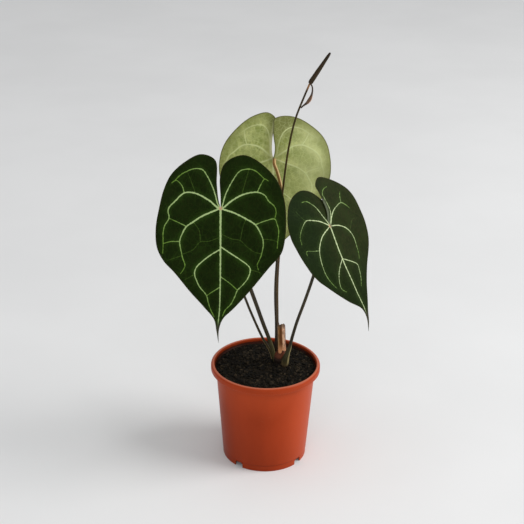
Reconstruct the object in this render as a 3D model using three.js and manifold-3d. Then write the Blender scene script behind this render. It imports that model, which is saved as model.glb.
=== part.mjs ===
// A young potted anthurium with three heart-shaped leaves and one flower, in a 12 cm nursery pot.
// Millimetres, +Z up, +Y away from the viewer. The origin is the pot's axis at its foot.

import * as THREE from 'three';
import { mergeVertices } from 'three/addons/utils/BufferGeometryUtils.js';
import Module from 'manifold-3d';

const wasm = await Module();
wasm.setup();

// Driving dimensions of the pot
const potHeight = 112;
const rimRadius = 60;
const rimRollRadius = 2.5;
const rimSkirtHeight = 6.8;
const rimSkirtThickness = 1.3;
const mouthFlareWidth = 1.3;
const collarFoot = 103;
const collarRise = 5.4;
const collarWidening = 3;
const wallTopRadius = 54.9;
const wallBottomRadius = 46.9;
const footRadius = 46.4;
const footHeight = 7.5;
const wallThickness = 1.5;
const notchWidth = 10;
const notchHeight = 6;
const notchAzimuths = [-37, 53, 143, 233];
const drainHoleRadius = 4.5;
const drainHoleRing = 36;
const potSegments = 64;

// Driving dimensions of the plant
const soilLevel = 106.4;
const soilLumpHeight = 1.4;
const soilMoundHeight = 3.6;
const soilMoundWidth = 15;
const seatGap = 0.3;
const bladeThickness = 0.8;
const rootDepth = 96;
const stemCentre = new THREE.Vector2(16.2, 6);
const stemRadius = 8.6;
const stemTop = 123;

const colours = {
  terracotta: 0xa24a30,
  soil: 0x1e1911,
  leafTop: 0x16261a,
  leafTurned: 0x2b3b2b,
  leafUnder: 0xa3ab72,
  petiole: 0x4b4136,
  sheath: 0x9a5a30,
  shortStem: 0x6b6238,
  spadix: 0x2e261c,
  spathe: 0x5c4232,
  bud: 0x4a4a30,
};

const radians = THREE.MathUtils.degToRad;
const smoothstep = THREE.MathUtils.smoothstep;

function matte(colour, roughness) {
  return new THREE.MeshStandardMaterial({ color: colour, roughness, metalness: 0 });
}

// The three leaves. facing is where the upper face looks, in degrees from -Y towards +X;
// lift tips that face up from level; roll turns the leaf in its own plane. The midrib runs from
// the junction to the drip tip, and each outline from the junction up the sinus, over the lobe
// and down towards the tip. Both are lists of [across, along], as is the petiole's seat.
const leaves = [
  {
    name: 'front_left',
    junction: [-47.3, -45, 311],
    facing: 3, lift: 18, roll: 0,
    midrib: [[0, 0], [-0.5, 60], [-1.5, 102], [-3.4, 122], [-2.8, 137]],
    petioleSeat: [0, 2.6], reach: 70,
    curl: 0.0006, marginDroop: 0.0004, valley: 0.05,
    ripple: 1.5, waves: 7, wavePhase: 0.5,
    lobeLift: { left: 0, right: 0, start: [4, 30] },
    left: {
      lobeTop: 3,
      points: [[2, -8], [3.6, -24], [5, -48], [19, -54], [35.5, -46.3], [49, -34], [56.5, -19],
        [61, -2], [65, 20], [64, 39], [57.4, 52.5], [47, 64], [31, 85], [16.5, 101.5], [7.2, 113],
        [4.9, 124]],
    },
    right: {
      lobeTop: 3,
      points: [[0, -11], [-0.4, -32], [5, -45.5], [22, -53], [36, -48], [55, -30], [63.5, -10],
        [65.8, 15], [63, 39.5], [59.8, 47.5], [50, 59], [39.8, 71.5], [29.5, 83.5], [12, 102], [2, 112],
        [-2.1, 123]],
    },
    colour: colours.leafTop,
  },
  {
    name: 'right',
    junction: [64.6, -8, 278.5],
    facing: 40, lift: 28, roll: 7,
    midrib: [[0, 0], [-1, 36], [1, 72], [2.6, 98], [0.5, 110], [-2.4, 117.7]],
    petioleSeat: [0, 2.6], reach: 55,
    curl: 0.0012, marginDroop: 0.0008, valley: 0.06,
    ripple: 1.3, waves: 6, wavePhase: 1.2,
    lobeLift: { left: -1.4, right: 1.4, start: [1, 14] },
    left: {
      lobeTop: 5,
      points: [[-0.3, -6], [-4.2, -12], [-6.1, -18], [-5.8, -24], [-3.4, -29], [5.2, -40], [17, -46],
        [28, -44.5], [41, -36.5], [51.5, -21], [53.2, -7], [51.8, 7], [50.2, 22], [46.6, 36], [39.2, 48],
        [32.5, 55.5], [12, 81], [0.5, 93.5], [-1.3, 104]],
    },
    right: {
      lobeTop: 5,
      points: [[0.6, -6], [2.8, -12], [4.1, -18], [4, -25], [2.3, -37], [0.9, -44.5], [8.9, -51],
        [22, -46], [38, -29.5], [45.3, -13], [46.8, 4], [44.2, 20], [40.5, 34], [36, 44], [28.5, 56],
        [18, 73], [10.8, 88], [5.8, 99], [2.6, 108]],
    },
    colour: colours.leafTurned,
  },
  {
    name: 'back',
    junction: [4.7, 44, 334.4],
    facing: 180, lift: 16, roll: 0,
    midrib: [[0, 0], [-0.6, 45], [-3, 90], [-8, 138]],
    petioleSeat: [-1.3, 2.6], reach: 65,
    curl: 0.0004, marginDroop: 0.0005, valley: 0.05,
    ripple: 1.5, waves: 7, wavePhase: 2,
    lobeLift: { left: -1.7, right: 1.7, start: [4, 30] },
    left: {
      lobeTop: 5,
      points: [[1, -4], [1.4, -14], [-0.4, -30], [-0.4, -42], [0.2, -50.5], [7.5, -53.3], [28, -48],
        [46, -34.5], [57, -15], [61.8, 14], [58.5, 42], [47, 67], [22, 104], [12, 118], [7.8, 127]],
    },
    right: {
      lobeTop: 5,
      points: [[1, -4], [1.6, -14], [1, -27], [-1.4, -40], [-1.2, -50], [7, -56.5], [20, -52],
        [41, -33.5], [53, -12], [57.8, 13], [54, 40], [41, 65], [14, 99], [0, 117], [-5.5, 128]],
    },
    colour: colours.leafUnder,
  },
];

// A leaf's own axes: X to its right, Y up its lobes, Z out of its upper face.
function leafTurn(leaf) {
  const facing = new THREE.Matrix4().makeRotationZ(radians(leaf.facing));
  const lift = new THREE.Matrix4().makeRotationX(radians(90 - leaf.lift));
  const roll = new THREE.Matrix4().makeRotationZ(radians(leaf.roll));
  return facing.multiply(lift).multiply(roll);
}

// The middle surface of a blade, curled along the midrib, drooping and rippled at the margin.
// Where its two lobes meet over the sinus, one lies a little above the other: side is -1 on the
// left lobe and 1 on the right one, also past the middle line.
const valleyRounding = 8;
const lobeLiftWidth = 14;

function bladePoint(leaf, across, along, side) {
  const angle = leaf.curl * along;
  const run = Math.sin(angle) / leaf.curl;
  const drop = (1 - Math.cos(angle)) / leaf.curl;
  const radius = Math.hypot(across, along) / leaf.reach;
  const bearing = Math.atan2(across, along);
  const lobeLift = side < 0 ? leaf.lobeLift.left : leaf.lobeLift.right;
  const nearSinus = Math.exp(-((across / lobeLiftWidth) ** 2)) * smoothstep(-along, ...leaf.lobeLift.start);
  const height = leaf.valley * (Math.hypot(across, valleyRounding) - valleyRounding)
    - leaf.marginDroop * across * across
    + leaf.ripple * radius * radius * Math.sin(leaf.waves * bearing + leaf.wavePhase)
    + lobeLift * nearSinus;
  return new THREE.Vector3(across, -run - height * Math.sin(angle), height * Math.cos(angle) - drop);
}

function bladeNormal(leaf, across, along, side) {
  const step = 0.5;
  const at = (x, y) => bladePoint(leaf, x, y, side);
  const acrossEdge = at(across + step, along).sub(at(across - step, along));
  const alongEdge = at(across, along + step).sub(at(across, along - step));
  return alongEdge.cross(acrossEdge).normalize();
}

// Flat points of one half blade, in rows from the midrib or sinus out to the margin. Each holds
// [across, along], and as its third number the side that it belongs to.
function halfBlade(leaf, half, side, sinusRows, bladeRows, columns) {
  const rib = leaf.midrib.map(([across, along]) => new THREE.Vector3(across, along, 0));
  const flat = [rib[0]];
  for (const [across, along] of half.points) {
    flat.push(new THREE.Vector3(side * across, along, 0));
  }
  flat.push(rib.at(-1));
  const lobeTop = half.lobeTop + 1;
  const outline = new THREE.CatmullRomCurve3(flat, false, 'centripetal');
  const lobeAt = lobeTop / (flat.length - 1);
  const margin = sampleByLength((u) => outline.getPoint(THREE.MathUtils.lerp(lobeAt, 1, u)));
  const sinus = sampleByLength((u) => outline.getPoint(THREE.MathUtils.lerp(lobeAt, 0, u)));
  const midribCurve = new THREE.CatmullRomCurve3(rib, false, 'centripetal');
  const midrib = sampleByLength((u) => midribCurve.getPoint(u));
  const rows = [];
  const total = sinusRows + bladeRows;
  const sinusShare = 0.36;
  for (let i = 0; i <= total; i += 1) {
    const inSinus = i <= sinusRows;
    const inner = inSinus ? sinus(i / sinusRows) : midrib((i - sinusRows) / bladeRows);
    const outerShare = inSinus
      ? sinusShare * (i / sinusRows)
      : sinusShare + (1 - sinusShare) * ((i - sinusRows) / bladeRows);
    const outer = margin(outerShare);
    const width = i === 0 || i === total ? 0 : columns;
    const row = [];
    for (let j = 0; j <= width; j += 1) {
      const place = width === 0 ? outer.clone() : inner.clone().lerp(outer, j / columns);
      const onMidrib = i >= sinusRows && j === 0;
      place.z = onMidrib ? 0 : side;
      row.push(place);
    }
    rows.push(row);
  }
  return rows;
}

// Turns a curve into one whose parameter is its length
function sampleByLength(curve, divisions = 200) {
  const points = [];
  const lengths = [0];
  for (let i = 0; i <= divisions; i += 1) {
    points.push(curve(i / divisions));
    if (i > 0) {
      lengths.push(lengths[i - 1] + points[i].distanceTo(points[i - 1]));
    }
  }
  const total = lengths[divisions];
  return (share) => {
    const wanted = THREE.MathUtils.clamp(share, 0, 1) * total;
    let i = 1;
    while (i < divisions && lengths[i] < wanted) {
      i += 1;
    }
    const span = lengths[i] - lengths[i - 1];
    return points[i - 1].clone().lerp(points[i], (wanted - lengths[i - 1]) / span);
  };
}

// Joins rows of points into triangles; a row of one point is a fan's tip.
function joinRows(rows, indexOf, flip) {
  const triangles = [];
  const add = (a, b, c) => {
    if (a !== b && b !== c && c !== a) {
      triangles.push(flip ? [a, c, b] : [a, b, c]);
    }
  };
  for (let i = 0; i + 1 < rows.length; i += 1) {
    const upper = rows[i];
    const lower = rows[i + 1];
    const columns = Math.max(upper.length, lower.length) - 1;
    for (let j = 0; j < columns; j += 1) {
      const a = indexOf(upper[Math.min(j, upper.length - 1)]);
      const b = indexOf(upper[Math.min(j + 1, upper.length - 1)]);
      const c = indexOf(lower[Math.min(j, lower.length - 1)]);
      const d = indexOf(lower[Math.min(j + 1, lower.length - 1)]);
      add(a, c, d);
      add(a, d, b);
    }
  }
  return triangles;
}

// Gives a sheet of triangles its thickness and closes its edges
function thicken(points, normals, triangles, thickness) {
  const position = [];
  for (const sign of [1, -1]) {
    points.forEach((point, i) => {
      const shifted = point.clone().addScaledVector(normals[i], (sign * thickness) / 2);
      position.push(shifted.x, shifted.y, shifted.z);
    });
  }
  const count = points.length;
  const edges = new Map();
  const index = [];
  for (const [a, b, c] of triangles) {
    index.push(a, b, c, a + count, c + count, b + count);
    for (const [from, to] of [[a, b], [b, c], [c, a]]) {
      edges.set(`${from} ${to}`, [from, to]);
    }
  }
  for (const [from, to] of edges.values()) {
    if (!edges.has(`${to} ${from}`)) {
      index.push(from, from + count, to, to, from + count, to + count);
    }
  }
  return indexedGeometry(position, index);
}

function indexedGeometry(position, index) {
  const geometry = new THREE.BufferGeometry();
  geometry.setAttribute('position', new THREE.Float32BufferAttribute(position, 3));
  geometry.setIndex(index);
  return geometry;
}

function leafGeometry(leaf) {
  const sinusRows = 9;
  const bladeRows = 16;
  const columns = 6;
  const flat = [];
  const triangles = [];
  const known = new Map();
  const indexOf = (point) => {
    const key = `${point.x.toFixed(4)} ${point.y.toFixed(4)} ${point.z}`;
    if (!known.has(key)) {
      known.set(key, flat.length);
      flat.push(point);
    }
    return known.get(key);
  };
  const left = halfBlade(leaf, leaf.left, -1, sinusRows, bladeRows, columns);
  const right = halfBlade(leaf, leaf.right, 1, sinusRows, bladeRows, columns);
  triangles.push(...joinRows(left, indexOf, true));
  triangles.push(...joinRows(right, indexOf, false));
  const sheet = flat.map((point) => bladePoint(leaf, point.x, point.y, point.z));
  const normals = flat.map((point) => bladeNormal(leaf, point.x, point.y, point.z));
  return thicken(sheet, normals, triangles, bladeThickness);
}

// A round stem along a smooth path. radii lists [share of length, radius].
function stemGeometry(path, radii, { steps = 26, sides = 10, relief = () => 0 } = {}) {
  const curve = new THREE.CatmullRomCurve3(path, false, 'centripetal');
  const frames = curve.computeFrenetFrames(steps, false);
  const position = [];
  const index = [];
  for (let i = 0; i <= steps; i += 1) {
    const centre = curve.getPointAt(i / steps);
    for (let j = 0; j < sides; j += 1) {
      const turn = (2 * Math.PI * j) / sides;
      const radius = radiusAt(radii, i / steps) + relief(i, j);
      const point = centre.clone()
        .addScaledVector(frames.normals[i], radius * Math.cos(turn))
        .addScaledVector(frames.binormals[i], radius * Math.sin(turn));
      position.push(point.x, point.y, point.z);
    }
  }
  for (let i = 0; i < steps; i += 1) {
    for (let j = 0; j < sides; j += 1) {
      const a = i * sides + j;
      const b = i * sides + ((j + 1) % sides);
      index.push(a, b, b + sides, a, b + sides, a + sides);
    }
  }
  const ends = [curve.getPointAt(0), curve.getPointAt(1)];
  ends.forEach((end, side) => {
    const centre = position.length / 3;
    position.push(end.x, end.y, end.z);
    const ring = side * steps * sides;
    for (let j = 0; j < sides; j += 1) {
      const a = ring + j;
      const b = ring + ((j + 1) % sides);
      index.push(centre, side === 0 ? b : a, side === 0 ? a : b);
    }
  });
  return indexedGeometry(position, index);
}

function radiusAt(radii, share) {
  let i = 1;
  while (i < radii.length - 1 && radii[i][0] < share) {
    i += 1;
  }
  const [from, low] = radii[i - 1];
  const [to, high] = radii[i];
  return THREE.MathUtils.lerp(low, high, THREE.MathUtils.clamp((share - from) / (to - from), 0, 1));
}

const point = (x, y, z) => new THREE.Vector3(x, y, z);

// A petiole's last stretch turns to meet its blade's underside squarely, just below the junction.
const petioleEndRun = 8;

function petioleEnd(leaf) {
  const turn = leafTurn(leaf);
  const face = new THREE.Vector3(0, 0, 1).transformDirection(turn);
  const [across, along] = leaf.petioleSeat;
  const seat = new THREE.Vector3(across, -along, 0)
    .applyMatrix4(turn)
    .add(new THREE.Vector3(...leaf.junction))
    .addScaledVector(face, -(bladeThickness / 2 + seatGap));
  return [seat.clone().addScaledVector(face, -petioleEndRun), seat];
}

const petiolePaths = {
  front_left: [
    point(10.6, 5.3, rootDepth), point(10.4, 5.4, 110), point(8.3, 5.8, 121.8), point(3.7, 4.4, 137.8),
    point(-3.7, -1, 161.3), point(-13.3, -9, 194), point(-27.5, -20.5, 241), point(-38, -30.5, 278),
    point(-44, -36, 300), ...petioleEnd(leaves[0]),
  ],
  right: [
    point(20.6, 0.4, rootDepth), point(20.9, -0.6, 106), point(21.2, -1.2, 113), point(22.4, -1.6, 119.5),
    point(24, -1.5, 124.3), point(25.8, -1, 130), point(28.3, -0.8, 142.6), point(33, -1.6, 162.2),
    point(41.9, -2.6, 191.9), point(49.3, -3, 218.6), point(57, -3, 250),
    ...petioleEnd(leaves[1]),
  ],
  back: [
    point(12.9, 14, rootDepth), point(12.6, 13.7, 127.5), point(11.6, 14, 165), point(10.9, 15, 195),
    point(11.3, 17, 218), point(13.1, 21.5, 250), point(14.1, 26.5, 277), point(14.1, 30.5, 300.5),
    point(12.3, 32.2, 310.6), point(8.8, 34.4, 322.5), ...petioleEnd(leaves[2]),
  ],
};

// The flower: a long stalk, a spadix and a small spathe bent back against the stalk
const flowerStalkPath = [
  point(11.3, 9.4, rootDepth), point(11.1, 9.5, 122), point(10.7, 9.3, 154), point(9.3, 9.2, 185),
  point(9.2, 9.1, 205), point(10.2, 9.7, 228), point(12.4, 10.4, 271), point(15.3, 11.2, 312.4),
  point(20.4, 12.6, 357), point(26.6, 14.1, 386.8), point(35.2, 15.3, 410.8), point(40.1, 16, 423.2),
];
const spadixLength = 36.6;
const spadixPath = spadixAbove(flowerStalkPath.at(-1));

function spadixAbove(stalkEnd) {
  const lean = new THREE.Vector3(18.6, 1, 30).normalize();
  const start = stalkEnd.clone().addScaledVector(lean, seatGap + 0.2);
  const steps = 4;
  const path = [];
  for (let i = 0; i <= steps; i += 1) {
    path.push(start.clone().addScaledVector(lean, (spadixLength * i) / steps));
  }
  return path;
}

const spatheSide = new THREE.Vector3(1, -0.1, 0);
const spathePath = [
  point(41.6, 14.1, 421.7), point(42.6, 14.1, 419.2), point(42.8, 14, 415.8), point(42, 13.8, 411.4),
  point(40.3, 13.6, 407.1), point(37.8, 13.4, 403.7), point(34.1, 13.1, 400.8), point(31.5, 12.7, 398.4),
];

// A second, younger flower stalk that ends behind the front leaf
const budStalkPath = [
  point(7.6, 13, rootDepth), point(7.1, 12.9, 112), point(3.2, 12.5, 122.8), point(-3, 11.2, 134.6),
  point(-17.6, 6, 172), point(-23.8, 4, 189.8), point(-44.6, 0, 243.5), point(-62, -4, 290),
];
const budPath = [
  point(-62.2, -4.04, 290.5), point(-65.2, -4.6, 299), point(-68, -4.6, 308), point(-70, -4.2, 319),
];

// Radii are lists of [share of length, radius]. The right petiole swells into a clasping base.
const stems = [
  {
    name: 'petiole_front_left',
    path: petiolePaths.front_left,
    radii: [[0, 2.4], [0.12, 2.3], [0.2, 2.15], [1, 2.1]],
  },
  {
    name: 'petiole_right',
    path: petiolePaths.right,
    radii: [[0, 3.4], [0.06, 4.2], [0.1, 4.4], [0.13, 3.5], [0.16, 2.4], [0.2, 1.9], [0.3, 1.75], [1, 1.75]],
    steps: 46,
  },
  {
    name: 'petiole_back',
    path: petiolePaths.back,
    radii: [[0, 2.1], [0.1, 2.1], [0.2, 1.85], [1, 1.85]],
  },
  { name: 'flower_stalk', path: flowerStalkPath, radii: [[0, 1.4], [0.1, 1.25], [1, 1]] },
  { name: 'bud_stalk', path: budStalkPath, radii: [[0, 1.45], [0.2, 1.4], [1, 1.25]] },
];

function cutterFor(stem) {
  const path = stem.path.map((p) => p.clone());
  path[0].z -= seatGap;
  const radii = stem.radii.map(([share, radius]) => [share, radius + seatGap]);
  return stemGeometry(path, radii, { steps: stem.steps });
}

// The dry sheath is a rolled strip, torn at the top and split into two flaps at the foot.
const sheathCentre = new THREE.Vector2(18, 5);
const sheathRadius = 4.3;
const sheathFoot = 121;
const sheathHeight = 37.4;
const sheathOpening = radians(70);
const sheathLean = -0.045;
const sheathTaper = 0.002;
const footFlare = 0.25;
const footFlareHeight = 12;

function sheathGeometry(extra) {
  const columns = 12;
  const rows = 10;
  const opening = sheathOpening - (2 * extra) / sheathRadius;
  const grid = [];
  for (let i = 0; i <= rows; i += 1) {
    const row = [];
    for (let j = 0; j <= columns; j += 1) {
      const share = j / columns;
      const turn = Math.PI / 2 + opening / 2 + share * (2 * Math.PI - opening);
      const torn = 0.9 * Math.sin(5 * share + 0.6) + 1.1 * Math.sin(13 * share);
      const height = (i / rows) * (sheathHeight + torn);
      const flare = footFlare * (1 - smoothstep(height, 0, footFlareHeight)) * Math.cos(2 * turn);
      const radius = sheathRadius + flare + sheathTaper * height;
      row.push(point(
        sheathCentre.x + sheathLean * height + radius * Math.cos(turn),
        sheathCentre.y + radius * Math.sin(turn),
        sheathFoot - extra + height,
      ));
    }
    grid.push(row);
  }
  return thickGrid(grid, bladeThickness + 2 * extra);
}

// Thickens a regular grid of points
function thickGrid(grid, thickness) {
  const columns = grid[0].length;
  const points = grid.flat();
  const at = (i, j) => grid[THREE.MathUtils.clamp(i, 0, grid.length - 1)][
    THREE.MathUtils.clamp(j, 0, columns - 1)];
  const normals = points.map((_, k) => {
    const i = Math.floor(k / columns);
    const j = k % columns;
    const down = at(i + 1, j).clone().sub(at(i - 1, j));
    const right = at(i, j + 1).clone().sub(at(i, j - 1));
    return down.cross(right).normalize();
  });
  const order = new Map(points.map((p, k) => [p, k]));
  return thicken(points, normals, joinRows(grid, (p) => order.get(p), false), thickness);
}

// The spathe is a narrow keeled strip that tapers to both ends.
function spatheGeometry() {
  const rows = 16;
  const neck = 0.7;
  const widest = 1.8;
  const widestAt = 0.58;
  const spread = 0.2;
  const keel = 0.5;
  const curve = new THREE.CatmullRomCurve3(spathePath, false, 'centripetal');
  const grid = [];
  for (let i = 0; i <= rows; i += 1) {
    const share = i / rows;
    const centre = curve.getPointAt(share);
    const run = curve.getTangentAt(share);
    const side = spatheSide.clone().cross(run).cross(run).normalize();
    const out = run.clone().cross(side);
    const half = neck + (widest - neck) * Math.exp(-(((share - widestAt) / spread) ** 2));
    const row = [];
    for (let j = -2; j <= 2; j += 1) {
      const lean = Math.abs(j) / 2;
      row.push(centre.clone()
        .addScaledVector(side, (half * j) / 2)
        .addScaledVector(out, keel * lean * (half / widest)));
    }
    grid.push(row);
  }
  return thickGrid(grid, bladeThickness);
}

// The spadix carries its florets as a raised diamond pattern.
function spadixGeometry() {
  const florets = (i, j) => ((i + j) % 2 === 0 ? 0.12 : -0.12);
  const radii = [[0, 2.1], [0.06, 2.45], [0.4, 2.25], [0.88, 1.55], [0.97, 1.2], [1, 0.7]];
  return stemGeometry(spadixPath, radii, { steps: 26, sides: 12, relief: florets });
}

function budGeometry() {
  const radii = [[0, 1.1], [0.15, 2], [0.45, 2.4], [0.8, 1.5], [1, 0.4]];
  return stemGeometry(budPath, radii, { steps: 12, sides: 10 });
}

// Booleans
function toManifold(geometry) {
  const bare = geometry.clone();
  bare.deleteAttribute('normal');
  bare.deleteAttribute('uv');
  const merged = mergeVertices(bare, 1e-4);
  return new wasm.Manifold(new wasm.Mesh({
    numProp: 3,
    vertProperties: new Float32Array(merged.attributes.position.array),
    triVerts: new Uint32Array(merged.index.array),
  }));
}

function toGeometry(solid) {
  const mesh = solid.getMesh();
  return indexedGeometry(Array.from(mesh.vertProperties), Array.from(mesh.triVerts));
}

function cut(geometry, cutters) {
  let solid = toManifold(geometry);
  for (const cutter of cutters) {
    solid = solid.subtract(toManifold(cutter));
  }
  return toGeometry(solid);
}

// The pot: tapered wall that widens into a collar under the rounded rim, a hollow skirt round the
// collar, and a raised floor on a notched foot ring
function innerWallRadius(z) {
  const share = (Math.min(z, collarFoot) - footHeight) / (potHeight - footHeight);
  const straight = THREE.MathUtils.lerp(wallBottomRadius, wallTopRadius, share) - wallThickness;
  return straight + collarWidening * THREE.MathUtils.clamp((z - collarFoot) / collarRise, 0, 1);
}

function potGeometry() {
  const skirtFoot = potHeight - rimSkirtHeight;
  const skirtInner = rimRadius - rimSkirtThickness;
  const rimUnderside = potHeight - rimRollRadius;
  const floorTop = footHeight + wallThickness;
  const collarTop = collarFoot + collarRise;
  const collarOuter = innerWallRadius(collarTop) + wallThickness - 0.1;
  const chamfer = 0.6;
  const profile = [
    [footRadius - wallThickness, 0], [footRadius, 0], [footRadius, footHeight - chamfer],
    [wallBottomRadius, footHeight], [innerWallRadius(collarFoot) + wallThickness, collarFoot],
    [collarOuter, collarTop], [collarOuter, rimUnderside], [skirtInner, rimUnderside],
    [skirtInner, skirtFoot], [rimRadius - chamfer / 2, skirtFoot], [rimRadius, skirtFoot + chamfer],
  ];
  const arcSteps = 5;
  for (let i = 0; i <= arcSteps; i += 1) {
    const turn = (Math.PI / 2) * (i / arcSteps);
    profile.push([
      rimRadius - rimRollRadius * (1 - Math.cos(turn)),
      potHeight - rimRollRadius * (1 - Math.sin(turn)),
    ]);
  }
  const flareSteps = 4;
  for (let i = 0; i <= flareSteps; i += 1) {
    const turn = (Math.PI / 2) * (1 - i / flareSteps);
    profile.push([
      innerWallRadius(collarTop) + mouthFlareWidth * (1 - Math.cos(turn)),
      collarTop + (potHeight - collarTop) * Math.sin(turn),
    ]);
  }
  profile.push(
    [innerWallRadius(collarFoot), collarFoot], [innerWallRadius(floorTop), floorTop], [0, floorTop],
    [0, footHeight], [footRadius - wallThickness, footHeight], [footRadius - wallThickness, 0],
  );
  const wall = new THREE.LatheGeometry(profile.map(([r, z]) => new THREE.Vector2(r, z)), potSegments);
  wall.rotateX(Math.PI / 2);
  const cutters = notchAzimuths.flatMap((azimuth) => [notchCutter(azimuth), drainCutter(azimuth)]);
  return cut(wall, cutters);
}

function notchCutter(azimuth) {
  const depth = 12;
  const bevel = 1.5;
  const half = notchWidth / 2;
  const outline = new THREE.Shape([
    new THREE.Vector2(-half, -1), new THREE.Vector2(half, -1), new THREE.Vector2(half, notchHeight - bevel),
    new THREE.Vector2(half - bevel, notchHeight), new THREE.Vector2(bevel - half, notchHeight),
    new THREE.Vector2(-half, notchHeight - bevel),
  ]);
  const cutter = new THREE.ExtrudeGeometry(outline, { depth, bevelEnabled: false });
  cutter.rotateX(Math.PI / 2);
  cutter.translate(0, -(footRadius - depth / 2), 0);
  cutter.rotateZ(radians(azimuth));
  return cutter;
}

function drainCutter(azimuth) {
  const depth = 6;
  const cutter = new THREE.CylinderGeometry(drainHoleRadius, drainHoleRadius, depth, 16);
  cutter.rotateX(Math.PI / 2);
  cutter.translate(0, -drainHoleRing, footHeight);
  cutter.rotateZ(radians(azimuth));
  return cutter;
}

// The soil fills the pot to just under the rim, with a lumpy top and a plain hole for each stem.
function soilGeometry() {
  const topRings = 9;
  const segments = 40;
  const floor = footHeight + wallThickness + seatGap;
  const levels = [soilLevel, collarFoot, floor];
  const [topRadius, collarRadius, floorRadius] = levels.map((z) => innerWallRadius(z) - seatGap);
  const rings = [];
  for (let i = 1; i <= topRings; i += 1) {
    rings.push([topRadius * (i / topRings), soilLevel]);
  }
  rings.push([collarRadius, collarFoot], [floorRadius, floor]);
  const position = [0, 0, soilLevel + soilLump(0, 0)];
  const index = [];
  for (const [radius, z] of rings) {
    for (let j = 0; j < segments; j += 1) {
      const turn = (2 * Math.PI * j) / segments;
      const x = radius * Math.cos(turn);
      const y = radius * Math.sin(turn);
      position.push(x, y, z === soilLevel ? z + soilLump(x, y) : z);
    }
  }
  const bottom = position.length / 3;
  position.push(0, 0, floor);
  for (let j = 0; j < segments; j += 1) {
    const next = (j + 1) % segments;
    index.push(0, 1 + j, 1 + next);
    for (let i = 0; i + 1 < rings.length; i += 1) {
      const inner = 1 + i * segments;
      const outer = inner + segments;
      index.push(inner + j, outer + j, outer + next, inner + j, outer + next, inner + next);
    }
    const last = 1 + (rings.length - 1) * segments;
    index.push(bottom, last + next, last + j);
  }
  const cutters = [...stems.map(cutterFor), shortStemGeometry(seatGap)];
  return cut(indexedGeometry(position, index), cutters);
}

// The soil is lumpy and rises round the stems; both die away towards the pot's wall.
function soilLump(x, y) {
  const wall = innerWallRadius(soilLevel);
  const edge = 1 - smoothstep(Math.hypot(x, y), wall - 9, wall - 2);
  const wave = Math.sin(0.23 * x + 1.1) * Math.cos(0.19 * y - 0.4) + 0.7 * Math.sin(0.41 * x - 0.37 * y);
  const fromStem = Math.hypot(x - stemCentre.x, y - stemCentre.y) / soilMoundWidth;
  const mound = soilMoundHeight * Math.exp(-(fromStem ** 2));
  return (soilLumpHeight * 0.5 * (1 + wave / 1.7) + mound) * edge;
}

// The short stem is a ringed stub that stands in the soil, grooved where the petioles leave it.
function shortStemGeometry(extra = 0) {
  const foot = 90;
  const profile = [
    [0, foot - extra], [7 + extra, foot - extra], [stemRadius + extra, 96], [stemRadius + extra, 104],
    [stemRadius - 0.3 + extra, 108], [stemRadius - 0.8 + extra, 111], [stemRadius - 0.4 + extra, 114],
    [stemRadius - 1.2 + extra, 118], [stemRadius - 2.4 + extra, 120.7 + extra],
    [stemRadius - 4.2 + extra, stemTop - 0.7 + extra], [0, stemTop + extra],
  ];
  const segments = 24;
  const solid = new THREE.LatheGeometry(profile.map(([r, z]) => new THREE.Vector2(r, z)), segments);
  solid.rotateX(Math.PI / 2);
  solid.translate(stemCentre.x, stemCentre.y, 0);
  return solid;
}

function sub(name, geometry, material) {
  const mesh = new THREE.Mesh(geometry, material);
  mesh.name = name;
  return mesh;
}

const plant = new THREE.Group();
plant.add(sub('pot', potGeometry(), matte(colours.terracotta, 0.45)));
plant.add(sub('potting_soil', soilGeometry(), matte(colours.soil, 0.95)));
plant.add(sub(
  'short_stem',
  cut(shortStemGeometry(), [...stems.map(cutterFor), sheathGeometry(seatGap)]),
  matte(colours.shortStem, 0.8),
));

for (const stem of stems) {
  const geometry = stemGeometry(stem.path, stem.radii, { steps: stem.steps });
  plant.add(sub(stem.name, geometry, matte(colours.petiole, 0.6)));
}

for (const leaf of leaves) {
  const mesh = sub(`leaf_${leaf.name}`, leafGeometry(leaf), matte(leaf.colour, 0.7));
  mesh.quaternion.setFromRotationMatrix(leafTurn(leaf));
  mesh.position.set(...leaf.junction);
  plant.add(mesh);
}

plant.add(sub('dry_sheath', sheathGeometry(0), matte(colours.sheath, 0.85)));
plant.add(sub('spadix', spadixGeometry(), matte(colours.spadix, 0.7)));
plant.add(sub('spathe', spatheGeometry(), matte(colours.spathe, 0.7)));
plant.add(sub('flower_bud', budGeometry(), matte(colours.bud, 0.7)));

export default plant;
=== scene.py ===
import math

import bmesh
import bpy
import numpy as np
from mathutils import Matrix, Vector, noise
from mathutils.geometry import delaunay_2d_cdt


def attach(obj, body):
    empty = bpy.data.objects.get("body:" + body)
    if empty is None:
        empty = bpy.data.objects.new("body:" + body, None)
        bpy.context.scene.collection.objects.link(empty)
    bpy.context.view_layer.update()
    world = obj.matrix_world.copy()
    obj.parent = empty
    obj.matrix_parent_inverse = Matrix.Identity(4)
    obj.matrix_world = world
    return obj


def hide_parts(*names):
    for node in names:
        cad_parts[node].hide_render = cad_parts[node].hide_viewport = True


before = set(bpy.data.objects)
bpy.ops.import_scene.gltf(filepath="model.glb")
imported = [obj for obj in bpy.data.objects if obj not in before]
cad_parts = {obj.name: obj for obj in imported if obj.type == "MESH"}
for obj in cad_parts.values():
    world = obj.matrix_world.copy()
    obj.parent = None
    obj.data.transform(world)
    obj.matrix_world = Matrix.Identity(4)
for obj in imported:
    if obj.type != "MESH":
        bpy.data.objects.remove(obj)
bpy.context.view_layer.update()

# Sizes are in millimetres, as the plant was measured, and MM turns them into Blender's metres. Only the
# camera and the lights, at the end, are placed in metres.
MM = 0.001
rng = np.random.default_rng(20)
BLADE_THICKNESS = 0.8
SEAT_GAP = 0.3


# Curves and small maths

def smoothstep(value, low, high):
    share = np.clip((value - low) / (high - low), 0, 1)
    return share * share * (3 - 2 * share)


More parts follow.
